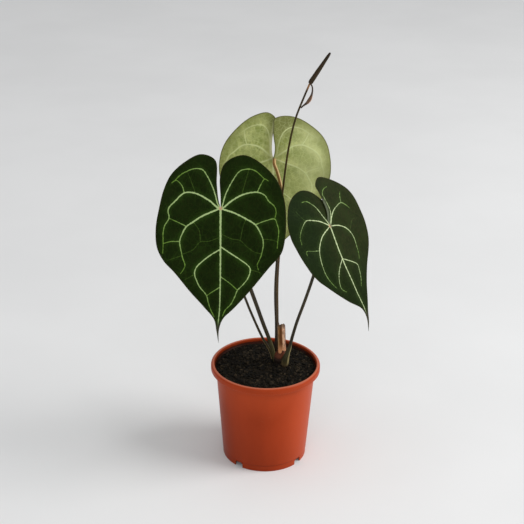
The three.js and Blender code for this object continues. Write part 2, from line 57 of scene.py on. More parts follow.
def bell(value, middle, width):
    """A bump of height 1 at the middle."""
    return np.exp(-((value - middle) / width) ** 2)


def unit(vectors):
    return vectors / np.linalg.norm(vectors, axis=-1, keepdims=True)


def direction(line):
    """Which way a line runs at each of its points."""
    return unit(np.gradient(line, axis=0))


def around(count):
    return np.linspace(0, 2 * math.pi, count, endpoint=False)


def spline(points, per_span=16):
    """A centripetal Catmull-Rom curve through the points, as a fine polyline."""
    knots = np.asarray(points, float)
    padded = np.vstack([2 * knots[0] - knots[1], knots, 2 * knots[-1] - knots[-2]])
    share = np.linspace(0, 1, per_span, endpoint=False)[:, None]
    spans = []
    for a, b, c, d in zip(padded, padded[1:], padded[2:], padded[3:]):
        before, here, after = (max(np.linalg.norm(v), 1e-4) ** 0.5 for v in (b - a, c - b, d - c))
        leave = ((b - a) / before - (c - a) / (before + here) + (c - b) / here) * here
        arrive = ((c - b) / here - (d - b) / (here + after) + (d - c) / after) * here
        square = -3 * b + 3 * c - 2 * leave - arrive
        cube = 2 * b - 2 * c + leave + arrive
        spans.append(b + leave * share + square * share ** 2 + cube * share ** 3)
    return np.vstack([*spans, knots[-1:]])


def run_along(line):
    return np.concatenate([[0], np.cumsum(np.linalg.norm(np.diff(line, axis=0), axis=1))])


def by_length(line, count):
    """The same line with evenly spaced points."""
    run = run_along(line)
    wanted = np.linspace(0, run[-1], count)
    return np.column_stack([np.interp(wanted, run, column) for column in line.T])


def even(points, step):
    line = spline(points)
    return by_length(line, max(3, round(run_along(line)[-1] / step) + 1))


def distance_to(places, line):
    """Each place's distance to a polyline, and how far along the line its nearest point is."""
    start, span = line[:-1], np.diff(line, axis=0)
    lengths = (span ** 2).sum(1)
    run = run_along(line)
    offset = places[:, None] - start[None]
    share = np.clip((offset * span[None]).sum(2) / lengths[None], 0, 1)
    gap = np.linalg.norm(offset - share[..., None] * span[None], axis=2)
    nearest = gap.argmin(1)
    rows = np.arange(len(places))
    along = run[nearest] + share[rows, nearest] * np.sqrt(lengths[nearest])
    return gap[rows, nearest], along / run[-1]


def inside(places, polygon):
    """Whether each place is inside a polygon, by counting the edges to its right."""
    x, y = places[:, 0][:, None], places[:, 1][:, None]
    x0, y0 = polygon[:, 0][None], polygon[:, 1][None]
    x1, y1 = np.roll(polygon[:, 0], -1)[None], np.roll(polygon[:, 1], -1)[None]
    level = (y0 > y) != (y1 > y)
    reach = x0 + (y - y0) * (x1 - x0) / np.where(y1 == y0, 1e-9, y1 - y0)
    return ((level & (x < reach)).sum(1) % 2) == 1


# Meshes and pieces

def add_object(name, data):
    thing = bpy.data.objects.new(name, data)
    bpy.context.scene.collection.objects.link(thing)
    return thing


def shade_smooth(mesh, smooth=True):
    mesh.polygons.foreach_set("use_smooth", [smooth] * len(mesh.polygons))


def new_piece(name, points, faces, materials, attributes=None, face_materials=None):
    """A piece from points in millimetres. attributes maps a name to one value or vector a point."""
    mesh = bpy.data.meshes.new(name)
    mesh.from_pydata((np.asarray(points) * MM).tolist(), [], faces)
    for material in materials:
        mesh.materials.append(material)
    if face_materials is not None:
        mesh.polygons.foreach_set("material_index", face_materials)
    for key, values in (attributes or {}).items():
        values = np.asarray(values, np.float32)
        kind, field = ("FLOAT", "value") if values.ndim == 1 else ("FLOAT_VECTOR", "vector")
        mesh.attributes.new(key, kind, "POINT").data.foreach_set(field, values.ravel())
    shade_smooth(mesh)
    mesh.update()
    return add_object(name, mesh)


def place(piece, slot, *nodes):
    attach(piece, "root")
    if nodes:
        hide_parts(*nodes)


def edit_mesh(piece, change):
    shape = bmesh.new()
    shape.from_mesh(piece.data)
    change(shape)
    shape.to_mesh(piece.data)
    shape.free()


def fix_normals(piece):
    edit_mesh(piece, lambda shape: bmesh.ops.recalc_face_normals(shape, faces=shape.faces))


def sharpen(piece, degrees):
    """Marks the edges sharper than an angle, so that the faces beside them shade apart."""
    def mark(shape):
        for edge in shape.edges:
            edge.smooth = len(edge.link_faces) == 2 and edge.calc_face_angle(0) < math.radians(degrees)
    edit_mesh(piece, mark)


def band(lower, upper, closed=True):
    """Four-sided faces between two rows of as many points."""
    count = len(lower)
    pairs = [(j, (j + 1) % count) for j in range(count if closed else count - 1)]
    return [[lower[j], lower[k], upper[k], upper[j]] for j, k in pairs]


def ring(start, count):
    return list(range(start, start + count))


# Materials

def srgb(red, green, blue):
    """A colour as it is seen, 0 to 255, in the renderer's linear values."""
    shares = [channel / 255 for channel in (red, green, blue)]
    return tuple(s / 12.92 if s <= 0.04045 else ((s + 0.055) / 1.055) ** 2.4 for s in shares)


def toned(colour, *factors):
    """A colour times one factor, or its red, green and blue times one factor each."""
    if len(factors) == 1:
        factors *= 3
    return tuple(factor * channel for factor, channel in zip(factors, colour))


class Look:
    """A procedural material. Its methods add nodes and give back their sockets.

    colour is what is painted so far, and tint paints on it.
    """

    def __init__(self, name):
        self.material = bpy.data.materials.new(name)
        self.material.use_nodes = True
        self.tree = self.material.node_tree
        self.colour = None

    def add(self, kind, inputs, **settings):
        node = self.tree.nodes.new(kind)
        for key, value in settings.items():
            setattr(node, key, value)
        for key, value in inputs.items():
            self.feed(node.inputs[key], value)
        return node

    def feed(self, socket, value):
        if isinstance(value, bpy.types.NodeSocket):
            self.tree.links.new(value, socket)
        else:
            socket.default_value = value

    def number(self, name):
        return self.add("ShaderNodeAttribute", {}, attribute_name=name).outputs["Fac"]

    def vector(self, name):
        return self.add("ShaderNodeAttribute", {}, attribute_name=name).outputs["Vector"]

    def place(self):
        return self.add("ShaderNodeTexCoord", {}).outputs["Object"]

    def vectors(self, operation, first, second=(0.0, 0.0, 0.0)):
        node = self.add("ShaderNodeVectorMath", {0: first, 1: second}, operation=operation)
        return node.outputs["Value" if operation in ("LENGTH", "DOT_PRODUCT") else "Vector"]

    def scaled(self, vector, factors):
        return self.vectors("MULTIPLY", vector, factors)

    def part(self, vector, axis):
        return self.add("ShaderNodeSeparateXYZ", {0: vector}).outputs[axis]

    def math(self, operation, first, second=0.0):
        return self.add("ShaderNodeMath", {0: first, 1: second}, operation=operation).outputs[0]

    def plus(self, first, second):
        return self.math("ADD", first, second)

    def times(self, product, *factors):
        for factor in factors:
            product = self.math("MULTIPLY", product, factor)
        return product

    def remap(self, value, low, high, to_low=0.0, to_high=1.0):
        return self.add("ShaderNodeMapRange", {
            "Value": value, "From Min": low, "From Max": high, "To Min": to_low, "To Max": to_high,
        }, interpolation_type="SMOOTHSTEP").outputs[0]

    def noise(self, vector, scale, detail=4.0, roughness=0.55):
        return self.add("ShaderNodeTexNoise", {
            "Vector": vector, "Scale": scale, "Detail": detail, "Roughness": roughness,
        }).outputs["Fac"]

    def clouds(self, vector, factors, detail=4.0, roughness=0.55):
        """Noise with a scale of its own on each axis."""
        return self.noise(self.scaled(vector, factors), 1.0, detail, roughness)

    def net(self, vector):
        inputs = {"Vector": vector, "Scale": 1.0}
        return self.add("ShaderNodeTexVoronoi", inputs, feature="DISTANCE_TO_EDGE").outputs["Distance"]

    def ramp(self, value, stops):
        """Each stop is a position and the red, green and blue of a colour as it is seen."""
        node = self.add("ShaderNodeValToRGB", {"Fac": value})
        elements = node.color_ramp.elements
        while len(elements) < len(stops):
            elements.new(0.5)
        for element, (position, *colour) in zip(elements, stops):
            element.position = position
            element.color = (*srgb(*colour), 1)
        return node.outputs["Color"]

    def mix(self, factor, first, second):
        node = self.add("ShaderNodeMix", {0: factor}, data_type="RGBA")
        for index, value in ((6, first), (7, second)):
            self.feed(node.inputs[index], (*value, 1) if isinstance(value, tuple) else value)
        return node.outputs[2]

    def tint(self, share, shade, amount=1.0):
        """Mixes a shade into the colour so far, by its share times an amount."""
        factor = share if amount == 1.0 else self.times(share, amount)
        self.colour = self.mix(factor, self.colour, shade)

    def bump(self, height, distance):
        """distance is the relief's height in millimetres."""
        return self.add("ShaderNodeBump", {"Height": height, "Distance": distance * MM}).outputs["Normal"]

    def finish(self, **sockets):
        shader = self.tree.nodes["Principled BSDF"]
        for name, value in {"Base_Color": self.colour, **sockets}.items():
            self.feed(shader.inputs[name.replace("_", " ")], value)
        return self.material


def leaf_top_look(name, dark, halo, pale, lime, gloss, sheen, tip_start, left_painted_shade):
    """Velvet with a glow, halo, along its veins, which are pale where strong and lime where weak.

    Painted shade: left_painted_shade darkens the blade towards its left margin, and a little less towards its
    tip.
    """
    look = Look(name)
    flat = look.vector("flat")
    across, along = look.part(flat, 0), look.part(flat, 1)
    wobble = look.clouds(flat, (0.42, 0.42, 0.0), 2.0)
    gap = look.plus(look.number("vein_gap"), look.remap(wobble, 0.3, 0.7, -0.16, 0.2))
    strength = look.number("vein_strength")
    tip = look.remap(along, tip_start, tip_start + 9)
    patch = look.clouds(flat, (0.06, 0.06, 0.0), 3.0)
    grain = look.noise(flat, 1.6, 3.0)
    drift = look.add("ShaderNodeTexNoise", {"Vector": flat, "Scale": 0.12}).outputs["Color"]
    warped = look.vectors("ADD", look.scaled(flat, (0.17, 0.15, 0.0)), look.scaled(drift, (0.5, 0.5, 0.0)))
    net = look.remap(look.net(warped), 0.012, 0.085, 1.0, 0.0)
    glow = look.times(look.remap(gap, 0.0, 6.5, 1.0, 0.0), look.remap(patch, 0.3, 0.65, 0.45, 1.0),
                      look.remap(strength, 0.0, 0.9, 0.2, 1.0))
    look.colour = look.mix(look.remap(patch, 0.35, 0.7), dark, toned(dark, 1.45))
    mottle = look.clouds(flat, (0.3, 0.3, 0.0), 4.0, 0.65)
    look.tint(look.remap(mottle, 0.45, 0.68, 0.0, 0.6), toned(dark, 1.9, 1.3, 1.7))
    streaks = look.clouds(flat, (0.55, 0.15, 0.0), 4.0, 0.65)
    look.tint(look.remap(streaks, 0.5, 0.7, 0.0, 0.4), toned(dark, 2.7, 1.9, 2.6))
    # Painted shade towards the left margin and towards the tip.
    painted_shade_share = look.math("MAXIMUM", look.remap(across, -26.0, 4.0, left_painted_shade, 0.0),
                       look.remap(along, 30.0, 66.0, 0.0, 0.8 * left_painted_shade))
    look.tint(painted_shade_share, toned(dark, 0.45, 0.75, 0.4))
    look.tint(look.math("POWER", glow, 1.9), halo, 0.75)
    look.tint(net, halo, look.remap(gap, 0.5, 9.0, 0.3, 0.1))
    look.tint(look.remap(look.number("margin"), 0.15, 1.2, 1.0, 0.0), srgb(74, 62, 42), 0.3)
    line = look.times(look.remap(gap, -0.2, 0.3, 1.0, 0.0), look.remap(strength, 0.0, 0.5, 0.04, 0.95))
    vein = look.mix(look.remap(strength, 0.4, 0.95), lime, pale)
    look.tint(line, vein, look.math("SUBTRACT", 1.0, tip))
    heart = look.remap(look.vectors("LENGTH", flat), 0.7, 2.8, 0.8, 0.0)
    look.tint(heart, srgb(186, 140, 112))
    # Painted sheen: the turned edge beside the sinus is greyer, as where light grazes the velvet.
    look.tint(look.number("lip"), srgb(98, 106, 84), 0.85)
    look.tint(tip, srgb(62, 58, 48), 0.8)
    relief = look.plus(look.times(grain, 0.35), look.times(net, -0.5))
    return look.finish(
        Roughness=look.remap(grain, 0.2, 0.8, 0.52, 0.72), Normal=look.bump(relief, 0.09),
        Specular_IOR_Level=gloss, Sheen_Weight=sheen, Sheen_Roughness=0.42,
        Sheen_Tint=(*srgb(215, 235, 200), 1),
    )


def leaf_under_look(name, blade_dark, blade_light, vein, inner_shade):
    """inner_shade darkens one lobe beside the sinus."""
    look = Look(name)
    flat = look.vector("flat")
    gap, strength = look.number("vein_gap"), look.number("vein_strength")
    margin, lip = look.number("margin"), look.number("lip")
    patch = look.clouds(flat, (0.05, 0.09, 0.0), 5.0)
    grain = look.noise(flat, 1.3, 4.0)
    net = look.remap(look.net(look.scaled(flat, (0.2, 0.18, 0.0))), 0.0, 0.09, 1.0, 0.0)
    look.colour = look.mix(look.remap(patch, 0.38, 0.62), blade_dark, blade_light)
    freckle = look.clouds(flat, (0.22, 0.3, 0.0), 5.0, 0.7)
    look.tint(look.remap(freckle, 0.44, 0.66, 0.0, 0.55), toned(blade_dark, 0.74))
    marbling = look.clouds(flat, (0.24, 0.07, 0.0), 4.0, 0.6)
    look.tint(look.remap(marbling, 0.44, 0.62, 0.0, 0.55), toned(blade_light, 1.2))
    # Painted light: the blade is lighter towards its negative across side, where the key light falls on the
    # back leaf.
    look.tint(look.remap(look.part(flat, 0), -44.0, -8.0, 0.7, 0.0), toned(blade_light, 1.24, 1.24, 1.5))
    look.tint(look.remap(gap, 1.0, 9.0), toned(blade_dark, 0.94), 0.45)
    from_lobe = look.scaled(look.vectors("ADD", flat, (9.0, 46.0, 0.0)), (1.0, 0.75, 0.0))
    inner = look.remap(look.vectors("LENGTH", from_lobe), 3.0, 24.0, inner_shade, 0.0)
    look.tint(inner, srgb(112, 116, 58))
    look.tint(net, vein, 0.3)
    look.tint(look.remap(gap, -0.3, 0.7, 1.0, 0.0), vein, look.remap(strength, 0.0, 0.6, 0.1, 0.85))
    look.tint(look.remap(margin, 0.35, 1.5, 1.0, 0.0), srgb(70, 66, 40), 0.9)
    look.tint(look.remap(margin, 1.0, 15.0, 0.5, 0.0), srgb(126, 130, 66))
    # Painted highlight: the turned edge beside the sinus is paler, as where it catches the light.
    look.tint(lip, srgb(206, 206, 160), 0.75)
    return look.finish(
        Roughness=look.remap(grain, 0.2, 0.8, 0.55, 0.75),
        Normal=look.bump(look.plus(look.times(grain, 0.4), net), 0.07),
        Specular_IOR_Level=0.3,
    )


def stem_look(name, stops, streak, speckle=0.25, roughness=0.5, highlight_strip=None):
    """stops are colours from the foot, 0, to the top, 1; streak is the colour of its fine lines.

    The strip is a painted highlight, a paler band along the side where the light falls: its turn in degrees,
    its first and last share and its colour.
    """
    look = Look(name)
    straight, share = look.vector("straight"), look.number("share")
    lines = look.clouds(straight, (0.9, 0.9, 0.05), 4.0, 0.6)
    fine = look.noise(look.scaled(straight, (1.0, 1.0, 0.35)), 1.5, 3.0)
    look.colour = look.ramp(share, stops)
    look.tint(look.remap(lines, 0.48, 0.7, 0.0, 0.55), streak)
    look.tint(look.remap(fine, 0.55, 0.75, 0.0, speckle), toned(streak, 0.45))
    # Painted highlight: a paler band along one side of the stalk.
    if highlight_strip:
        degrees, first, last, shade = highlight_strip
        towards = (math.cos(math.radians(degrees)), math.sin(math.radians(degrees)), 0.0)
        facing = look.vectors("DOT_PRODUCT", look.vector("round"), towards)
        length = look.times(look.remap(share, first, first + 0.02),
                            look.remap(share, last - 0.04, last, 1.0, 0.0))
        look.tint(length, shade, look.remap(facing, 0.6, 0.92, 0.0, 0.85))
    return look.finish(
        Roughness=look.remap(fine, 0.2, 0.8, roughness - 0.08, roughness + 0.12),
        Normal=look.bump(look.plus(lines, look.times(fine, 0.4)), 0.12),
        Specular_IOR_Level=0.18,
    )


def pot_look():
    look = Look("pot_plastic")
    spot = look.scaled(look.place(), (1 / MM, 1 / MM, 1 / MM))
    east, height = look.part(spot, 0), look.part(spot, 2)
    radius = look.vectors("LENGTH", look.scaled(spot, (1.0, 1.0, 0.0)))
    clouds = look.clouds(spot, (0.03, 0.03, 0.009))
    grain = look.noise(spot, 2.2, 2.0)
    scuffs = look.clouds(spot, (0.11, 0.11, 0.26), 6.0, 0.7)
    skirt_foot = POT_HEIGHT - SKIRT_HEIGHT
    look.colour = look.mix(look.remap(clouds, 0.3, 0.7), POT_DEEP, POT_BRIGHT)
    # Painted shade: darker towards the foot.
    look.tint(look.remap(height, 6.0, 60.0, 0.2, 0.0), srgb(104, 34, 14))
    below_rim = look.remap(height, skirt_foot, skirt_foot + 1.5, 1.0, 0.35)
    # Painted light: lighter towards the east side, where the key light falls, and towards the top of the
    # wall; only a little of it on the rim.
    painted_light = look.math("MAXIMUM", look.remap(east, 8.0, 48.0, 0.0, 0.44),
                      look.remap(height, 62.0, 100.0, 0.0, 0.32))
    look.tint(painted_light, srgb(206, 84, 42), below_rim)
    # Painted shade: darker towards the west side, away from the key light.
    look.tint(look.remap(east, -44.0, -14.0, 0.16, 0.0), srgb(104, 40, 16), below_rim)
    # Painted shade: a dark line in the crease at the top of the foot.
    crease_shade = look.times(look.remap(height, FOOT_HEIGHT - 0.9, FOOT_HEIGHT - 0.4),
                        look.remap(height, FOOT_HEIGHT, FOOT_HEIGHT + 0.3, 1.0, 0.0))
    look.tint(crease_shade, srgb(78, 24, 10), 0.55)
    # Painted highlight: a pale line along the rim's crest.
    look.tint(look.remap(height, POT_HEIGHT - 0.8, POT_HEIGHT - 0.05, 0.0, 0.42), srgb(208, 138, 112))
    look.tint(look.remap(scuffs, 0.66, 0.8, 0.0, 0.18), srgb(214, 150, 128))
    # The inside of the mouth is darker from the soil up to a ragged edge a few millimetres above it.
    mouth = look.times(look.remap(radius, MOUTH_RADIUS - 1.2, MOUTH_RADIUS - 0.3, 1.0, 0.0),
                       look.remap(height, COLLAR_FOOT, COLLAR_FOOT + 0.5))
    rough_height = look.plus(height, look.times(scuffs, 2.0))
    mouth_darkening = look.remap(rough_height, SOIL_LEVEL + 2.4, SOIL_LEVEL + 4.4, 0.95, 0.25)
    look.tint(mouth, srgb(30, 14, 8), mouth_darkening)
    return look.finish(Roughness=look.remap(clouds, 0.25, 0.75, 0.34, 0.42), Normal=look.bump(grain, 0.012),
                       Specular_IOR_Level=0.11)


def soil_look():
    look = Look("potting_mix")
    spot = look.place()
    crumbs = look.noise(spot, 900.0, 5.0, 0.7)
    tone = look.plus(look.times(crumbs, 0.55), look.times(look.number("tone"), 0.45))
    look.colour = look.ramp(tone, [
        (0.2, 4, 3, 1), (0.43, 15, 11, 5), (0.62, 37, 30, 20), (0.85, 80, 68, 52),
    ])
    look.tint(look.remap(look.noise(spot, 140.0, 3.0), 0.52, 0.75, 0.0, 0.4), srgb(14, 16, 12))
    return look.finish(Roughness=look.remap(crumbs, 0.3, 0.7, 0.72, 0.95), Normal=look.bump(crumbs, 0.5),
                       Specular_IOR_Level=0.15)


def sheath_look():
    """Its attribute straight holds the share of the way round and the height."""
    look = Look("dry_sheath")
    straight = look.vector("straight")
    height = look.part(straight, 1)
    fibres = look.clouds(straight, (42.0, 0.35, 0.0), 5.0, 0.65)
    look.colour = look.ramp(look.part(straight, 0), [
        (0.0, 110, 78, 50), (0.22, 136, 98, 66), (0.31, 186, 148, 102),
        (0.37, 150, 104, 54), (0.44, 108, 62, 20), (0.48, 84, 42, 8),
        (0.52, 140, 86, 42), (0.565, 250, 198, 158), (0.63, 250, 204, 172),
        (0.7, 176, 128, 106), (0.8, 116, 90, 74), (1.0, 70, 56, 46),
    ])
    stains = look.clouds(straight, (9.0, 0.2, 0.0), 3.0)
    look.tint(look.remap(stains, 0.46, 0.62, 0.0, 0.6), srgb(98, 56, 20))
    look.tint(look.remap(height, 2.0, 15.0, 0.8, 0.0), srgb(246, 172, 122))
    look.tint(look.remap(height, 30.0, 36.0, 0.0, 0.7), srgb(82, 70, 58))
    look.tint(look.remap(fibres, 0.5, 0.72, 0.0, 0.4), srgb(104, 62, 32))
    return look.finish(Roughness=look.remap(fibres, 0.3, 0.7, 0.6, 0.85), Normal=look.bump(fibres, 0.25),
                       Specular_IOR_Level=0.3)


def short_stem_look():
    look = Look("stem_skin")
    spot = look.place()
    height = look.times(look.part(spot, 2), 1 / MM)
    marks = look.clouds(spot, (500.0, 500.0, 160.0))
    look.colour = look.ramp(look.plus(look.remap(height, 108.0, 123.0), look.times(marks, 0.12)), [
        (0.1, 20, 14, 10), (0.4, 28, 19, 13), (0.6, 46, 29, 20), (0.78, 88, 46, 30),
        (0.98, 100, 50, 30),
    ])
    look.tint(look.remap(look.number("tone"), 0.4, 0.9, 0.0, 0.45), srgb(40, 28, 20))
    return look.finish(Roughness=look.remap(marks, 0.3, 0.7, 0.55, 0.8), Normal=look.bump(marks, 0.3),
                       Specular_IOR_Level=0.2)


def spadix_look():
    look = Look("spadix_skin")
    straight, floret = look.vector("straight"), look.number("floret")
    patches = look.clouds(straight, (0.5, 0.5, 0.25), 3.0)
    look.colour = look.ramp(floret, [(0.0, 16, 11, 7), (0.45, 40, 31, 19), (1.0, 84, 72, 44)])
    look.tint(look.remap(patches, 0.45, 0.7, 0.0, 0.6), srgb(62, 40, 30))
    look.tint(look.remap(look.number("share"), 0.55, 1.0, 0.0, 0.5), srgb(28, 22, 18))
    return look.finish(Roughness=look.remap(floret, 0.0, 1.0, 0.75, 0.5),
                       Normal=look.bump(look.noise(straight, 3.0, 3.0), 0.05), Specular_IOR_Level=0.15)


def spathe_look():
    look = Look("spathe_skin")
    fibres = look.clouds(look.vector("straight"), (3.0, 0.4, 0.0))
    look.colour = look.ramp(fibres, [(0.3, 40, 30, 20), (0.6, 62, 46, 30), (0.8, 82, 60, 40)])
    share = look.number("share")
    broad = look.times(look.remap(share, 0.36, 0.5), look.remap(share, 0.66, 0.8, 1.0, 0.0))
    look.tint(broad, srgb(106, 78, 56), 0.75)
    look.tint(broad, srgb(186, 140, 116), look.remap(look.number("edge"), 0.5, 0.9))
    return look.finish(Roughness=look.remap(fibres, 0.3, 0.7, 0.5, 0.7), Normal=look.bump(fibres, 0.15),
                       Specular_IOR_Level=0.35)


def floor_look():
    look = Look("pale_floor")
    fine = look.noise(look.place(), 3.0, 3.0)
    look.colour = look.mix(look.remap(fine, 0.3, 0.7), srgb(230, 231, 232), srgb(234, 235, 236))
    return look.finish(Roughness=0.75, Specular_IOR_Level=0.2)


# The pot

POT_HEIGHT = 112
RIM_RADIUS = 60
RIM_ROLL = 2.5
SKIRT_HEIGHT = 6.8
SKIRT_THICKNESS = 1.3
MOUTH_FLARE_WIDTH = 1.3
COLLAR_FOOT = 103
COLLAR_RISE = 5.4
COLLAR_WIDENING = 3
WALL_TOP = 54.9
WALL_BOTTOM = 46.9
FOOT_RADIUS = 46.4
FOOT_HEIGHT = 7.5
WALL_THICKNESS = 1.5
NOTCH_WIDTH = 10
NOTCH_HEIGHT = 6
NOTCH_BEVEL = 1.5
NOTCH_DEPTH = 12
NOTCH_AZIMUTHS = (-37, 53, 143, 233)
DRAIN_RADIUS = 4.5
DRAIN_RING = 36
DRAIN_DEPTH = 6
POT_SEGMENTS = 192
SHARP_DEGREES = 38
SOIL_LEVEL = 106.4
SOIL_LUMP = 1.4
SOIL_MOUND = 3.6
SOIL_MOUND_WIDTH = 15
POT_DEEP = srgb(149, 51, 15)
POT_BRIGHT = srgb(163, 57, 19)


def inner_wall(z):
    share = (min(z, COLLAR_FOOT) - FOOT_HEIGHT) / (POT_HEIGHT - FOOT_HEIGHT)
    straight = WALL_BOTTOM + (WALL_TOP - WALL_BOTTOM) * share - WALL_THICKNESS
    return straight + COLLAR_WIDENING * min(max((z - COLLAR_FOOT) / COLLAR_RISE, 0), 1)


MOUTH_RADIUS = inner_wall(POT_HEIGHT) + MOUTH_FLARE_WIDTH


def lathe(profile, segments):
    """Turns a profile of [radius, height] about the Z axis. A radius of 0 is one point."""
    points, rings, faces = [], [], []
    for radius, height in profile:
        if radius == 0:
            rings.append([len(points)] * segments)
            points.append((0, 0, height))
        else:
            rings.append(ring(len(points), segments))
            points.extend((radius * math.sin(t), -radius * math.cos(t), height) for t in around(segments))
    for lower, upper in zip(rings, rings[1:]):
        for face in band(lower, upper):
            face = list(dict.fromkeys(face))
            if len(face) > 2:
                faces.append(face)
    return points, faces


def weld_ends(points, faces, segments):
    """Joins the last ring of a closed profile to its first one."""
    last = len(points) - segments
    return points[:last], [[v - last if v >= last else v for v in face] for face in faces]


def arc(centre, radii, start, end, steps):
    turns = np.radians(np.linspace(start, end, steps + 1))
    return [(centre[0] + radii[0] * math.cos(t), centre[1] + radii[1] * math.sin(t)) for t in turns]


def pot_profile():
    """The wall's section, closed, from the foot ring up the outside and down the inside."""
    skirt_rounding = 0.4
    skirt_edge = POT_HEIGHT - SKIRT_HEIGHT + skirt_rounding
    half_skirt = SKIRT_THICKNESS / 2
    skirt_inner = RIM_RADIUS - SKIRT_THICKNESS
    under_rim = POT_HEIGHT - RIM_ROLL
    floor_top = FOOT_HEIGHT + WALL_THICKNESS
    foot_inner = FOOT_RADIUS - WALL_THICKNESS
    collar_top = COLLAR_FOOT + COLLAR_RISE
    collar_outer = inner_wall(collar_top) + WALL_THICKNESS - 0.1
    fillet = 0.5
    profile = arc((FOOT_RADIUS - fillet, fillet), (fillet, fillet), -90, 0, 4)
    profile += [(FOOT_RADIUS, FOOT_HEIGHT - 1.1), (FOOT_RADIUS, FOOT_HEIGHT - 0.55)]
    profile += arc((WALL_BOTTOM - 0.3, FOOT_HEIGHT - 0.1), (0.3, 0.3), -80, 0, 4)
    profile += [(inner_wall(z) + WALL_THICKNESS, z) for z in np.linspace(FOOT_HEIGHT + 1, COLLAR_FOOT, 24)]
    profile += [(collar_outer, collar_top), (collar_outer, under_rim)]
    profile += [(skirt_inner - 0.6, under_rim), (skirt_inner, under_rim - 0.6), (skirt_inner, skirt_edge)]
    profile += arc((RIM_RADIUS - half_skirt, skirt_edge), (half_skirt, skirt_rounding), -180, 0, 8)[1:]
    profile += arc((RIM_RADIUS - RIM_ROLL, POT_HEIGHT - RIM_ROLL), (RIM_ROLL, RIM_ROLL), 0, 90, 12)
    profile += arc((MOUTH_RADIUS, collar_top), (MOUTH_FLARE_WIDTH, POT_HEIGHT - collar_top), 90, 180, 14)
    inner_levels = [collar_top - 1.5, collar_top - 3, COLLAR_FOOT + 1, COLLAR_FOOT]
    inner_levels += list(np.linspace(COLLAR_FOOT - 3, floor_top + 1, 8))
    profile += [(inner_wall(z), z) for z in inner_levels]
    profile += [(inner_wall(floor_top) - 0.8, floor_top), (30, floor_top), (0, floor_top), (0, FOOT_HEIGHT)]
    profile += [(30, FOOT_HEIGHT), (foot_inner, FOOT_HEIGHT)]
    profile += arc((foot_inner + 0.3, 0.3), (0.3, 0.3), 180, 270, 3)
    return profile + profile[:1]


def prism(outline, depth, azimuth, to_space):
    """A bar from a flat outline, turned about the Z axis. to_space gives a point's x, y and z."""
    turn = Matrix.Rotation(math.radians(azimuth), 3, "Z")
    points = [turn @ Vector(to_space(a, b, d)) for d in (0, depth) for a, b in outline]
    front, back = ring(0, len(outline)), ring(len(outline), len(outline))
    return points, [front[::-1], back, *band(front, back)]


def notch_cutter(azimuth):
    half, top = NOTCH_WIDTH / 2, NOTCH_HEIGHT - NOTCH_BEVEL
    outline = [(-half, -1), (half, -1), (half, top), (half - NOTCH_BEVEL, NOTCH_HEIGHT),
               (NOTCH_BEVEL - half, NOTCH_HEIGHT), (-half, top)]
    start = NOTCH_DEPTH / 2 - FOOT_RADIUS
    return prism(outline, NOTCH_DEPTH, azimuth, lambda x, z, depth: (x, start - depth, z))


def drain_cutter(azimuth):
    outline = arc((0, -DRAIN_RING), (DRAIN_RADIUS, DRAIN_RADIUS), 0, 345, 23)
    start = FOOT_HEIGHT - DRAIN_DEPTH / 2
    return prism(outline, DRAIN_DEPTH, azimuth, lambda x, y, depth: (x, y, start + depth))


def cut(piece, cutters):
    points, faces = [], []
    for cutter_points, cutter_faces in cutters:
        faces.extend([v + len(points) for v in face] for face in cutter_faces)
        points.extend(tuple(p) for p in cutter_points)
    tool = new_piece("cutter", points, faces, [])
    fix_normals(tool)
    modifier = piece.modifiers.new("cut", "BOOLEAN")
    modifier.object = tool
    modifier.operation = "DIFFERENCE"
    modifier.solver = "EXACT"
    bpy.context.view_layer.update()
    evaluated = piece.evaluated_get(bpy.context.evaluated_depsgraph_get())
    result = bpy.data.meshes.new_from_object(evaluated)
    piece.modifiers.clear()
    piece.data = result
    bpy.data.objects.remove(tool)


def make_pot():
    points, faces = weld_ends(*lathe(pot_profile(), POT_SEGMENTS), POT_SEGMENTS)
    pot = new_piece("pot_moulding", points, faces, [pot_look()])
    cut(pot, [cutter(a) for a in NOTCH_AZIMUTHS for cutter in (notch_cutter, drain_cutter)])
    shade_smooth(pot.data)
    sharpen(pot, SHARP_DEGREES)
    place(pot, "pot_plastic", "pot")


# The soil: a lumpy bed, and loose crumbs half sunk in it

CRUMB_COUNT = 4200
TWIG_SHARE = 0.08


def soil_lump(x, y):
    wall = inner_wall(SOIL_LEVEL)
    edge = 1 - smoothstep(np.hypot(x, y), wall - 9, wall - 2)
    wave = np.sin(0.23 * x + 1.1) * np.cos(0.19 * y - 0.4) + 0.7 * np.sin(0.41 * x - 0.37 * y)
    mound = SOIL_MOUND * bell(np.hypot(x - STEM_CENTRE[0], y - STEM_CENTRE[1]), 0, SOIL_MOUND_WIDTH)
    return (SOIL_LUMP * 0.5 * (1 + wave / 1.7) + mound) * edge


def soil_height(x, y):
    rough = noise.fractal(Vector((0.3 * x, 0.3 * y, 3.0)), 0.7, 2.1, 4)
    return SOIL_LEVEL + float(soil_lump(x, y)) - 0.4 + 0.95 * rough


def make_soil_bed(look):
    rings, segments = 64, 256
    wall = inner_wall(SOIL_LEVEL) - 0.05
    points, faces = lathe([(wall * i / rings, 0) for i in range(rings + 1)], segments)
    points = [(x, y, soil_height(x, y)) for x, y, _ in points]
    faces = [face[::-1] for face in faces]
    edge = points[-segments:]
    upper = ring(len(points) - segments, segments)
    for level in (COLLAR_FOOT, 70, 40, FOOT_HEIGHT + WALL_THICKNESS + SEAT_GAP):
        radius = inner_wall(level) - SEAT_GAP
        lower = ring(len(points), segments)
        points.extend((x * radius / wall, y * radius / wall, level) for x, y, _ in edge)
        faces.extend([face[3], *face[:3]] for face in band(lower, upper))
        upper = lower
    faces.append(upper)
    tone = rng.random(len(points)) * 0.5 + 0.2
    place(new_piece("soil_bed", points, faces, [look], {"tone": tone}), "potting_mix", "potting_soil")


def crumb_shape():
    shape = bmesh.new()
    bmesh.ops.create_icosphere(shape, subdivisions=1, radius=1)
    points = np.array([v.co for v in shape.verts])
    faces = [[v.index for v in face.verts] for face in shape.faces]
    shape.free()
    return points, faces


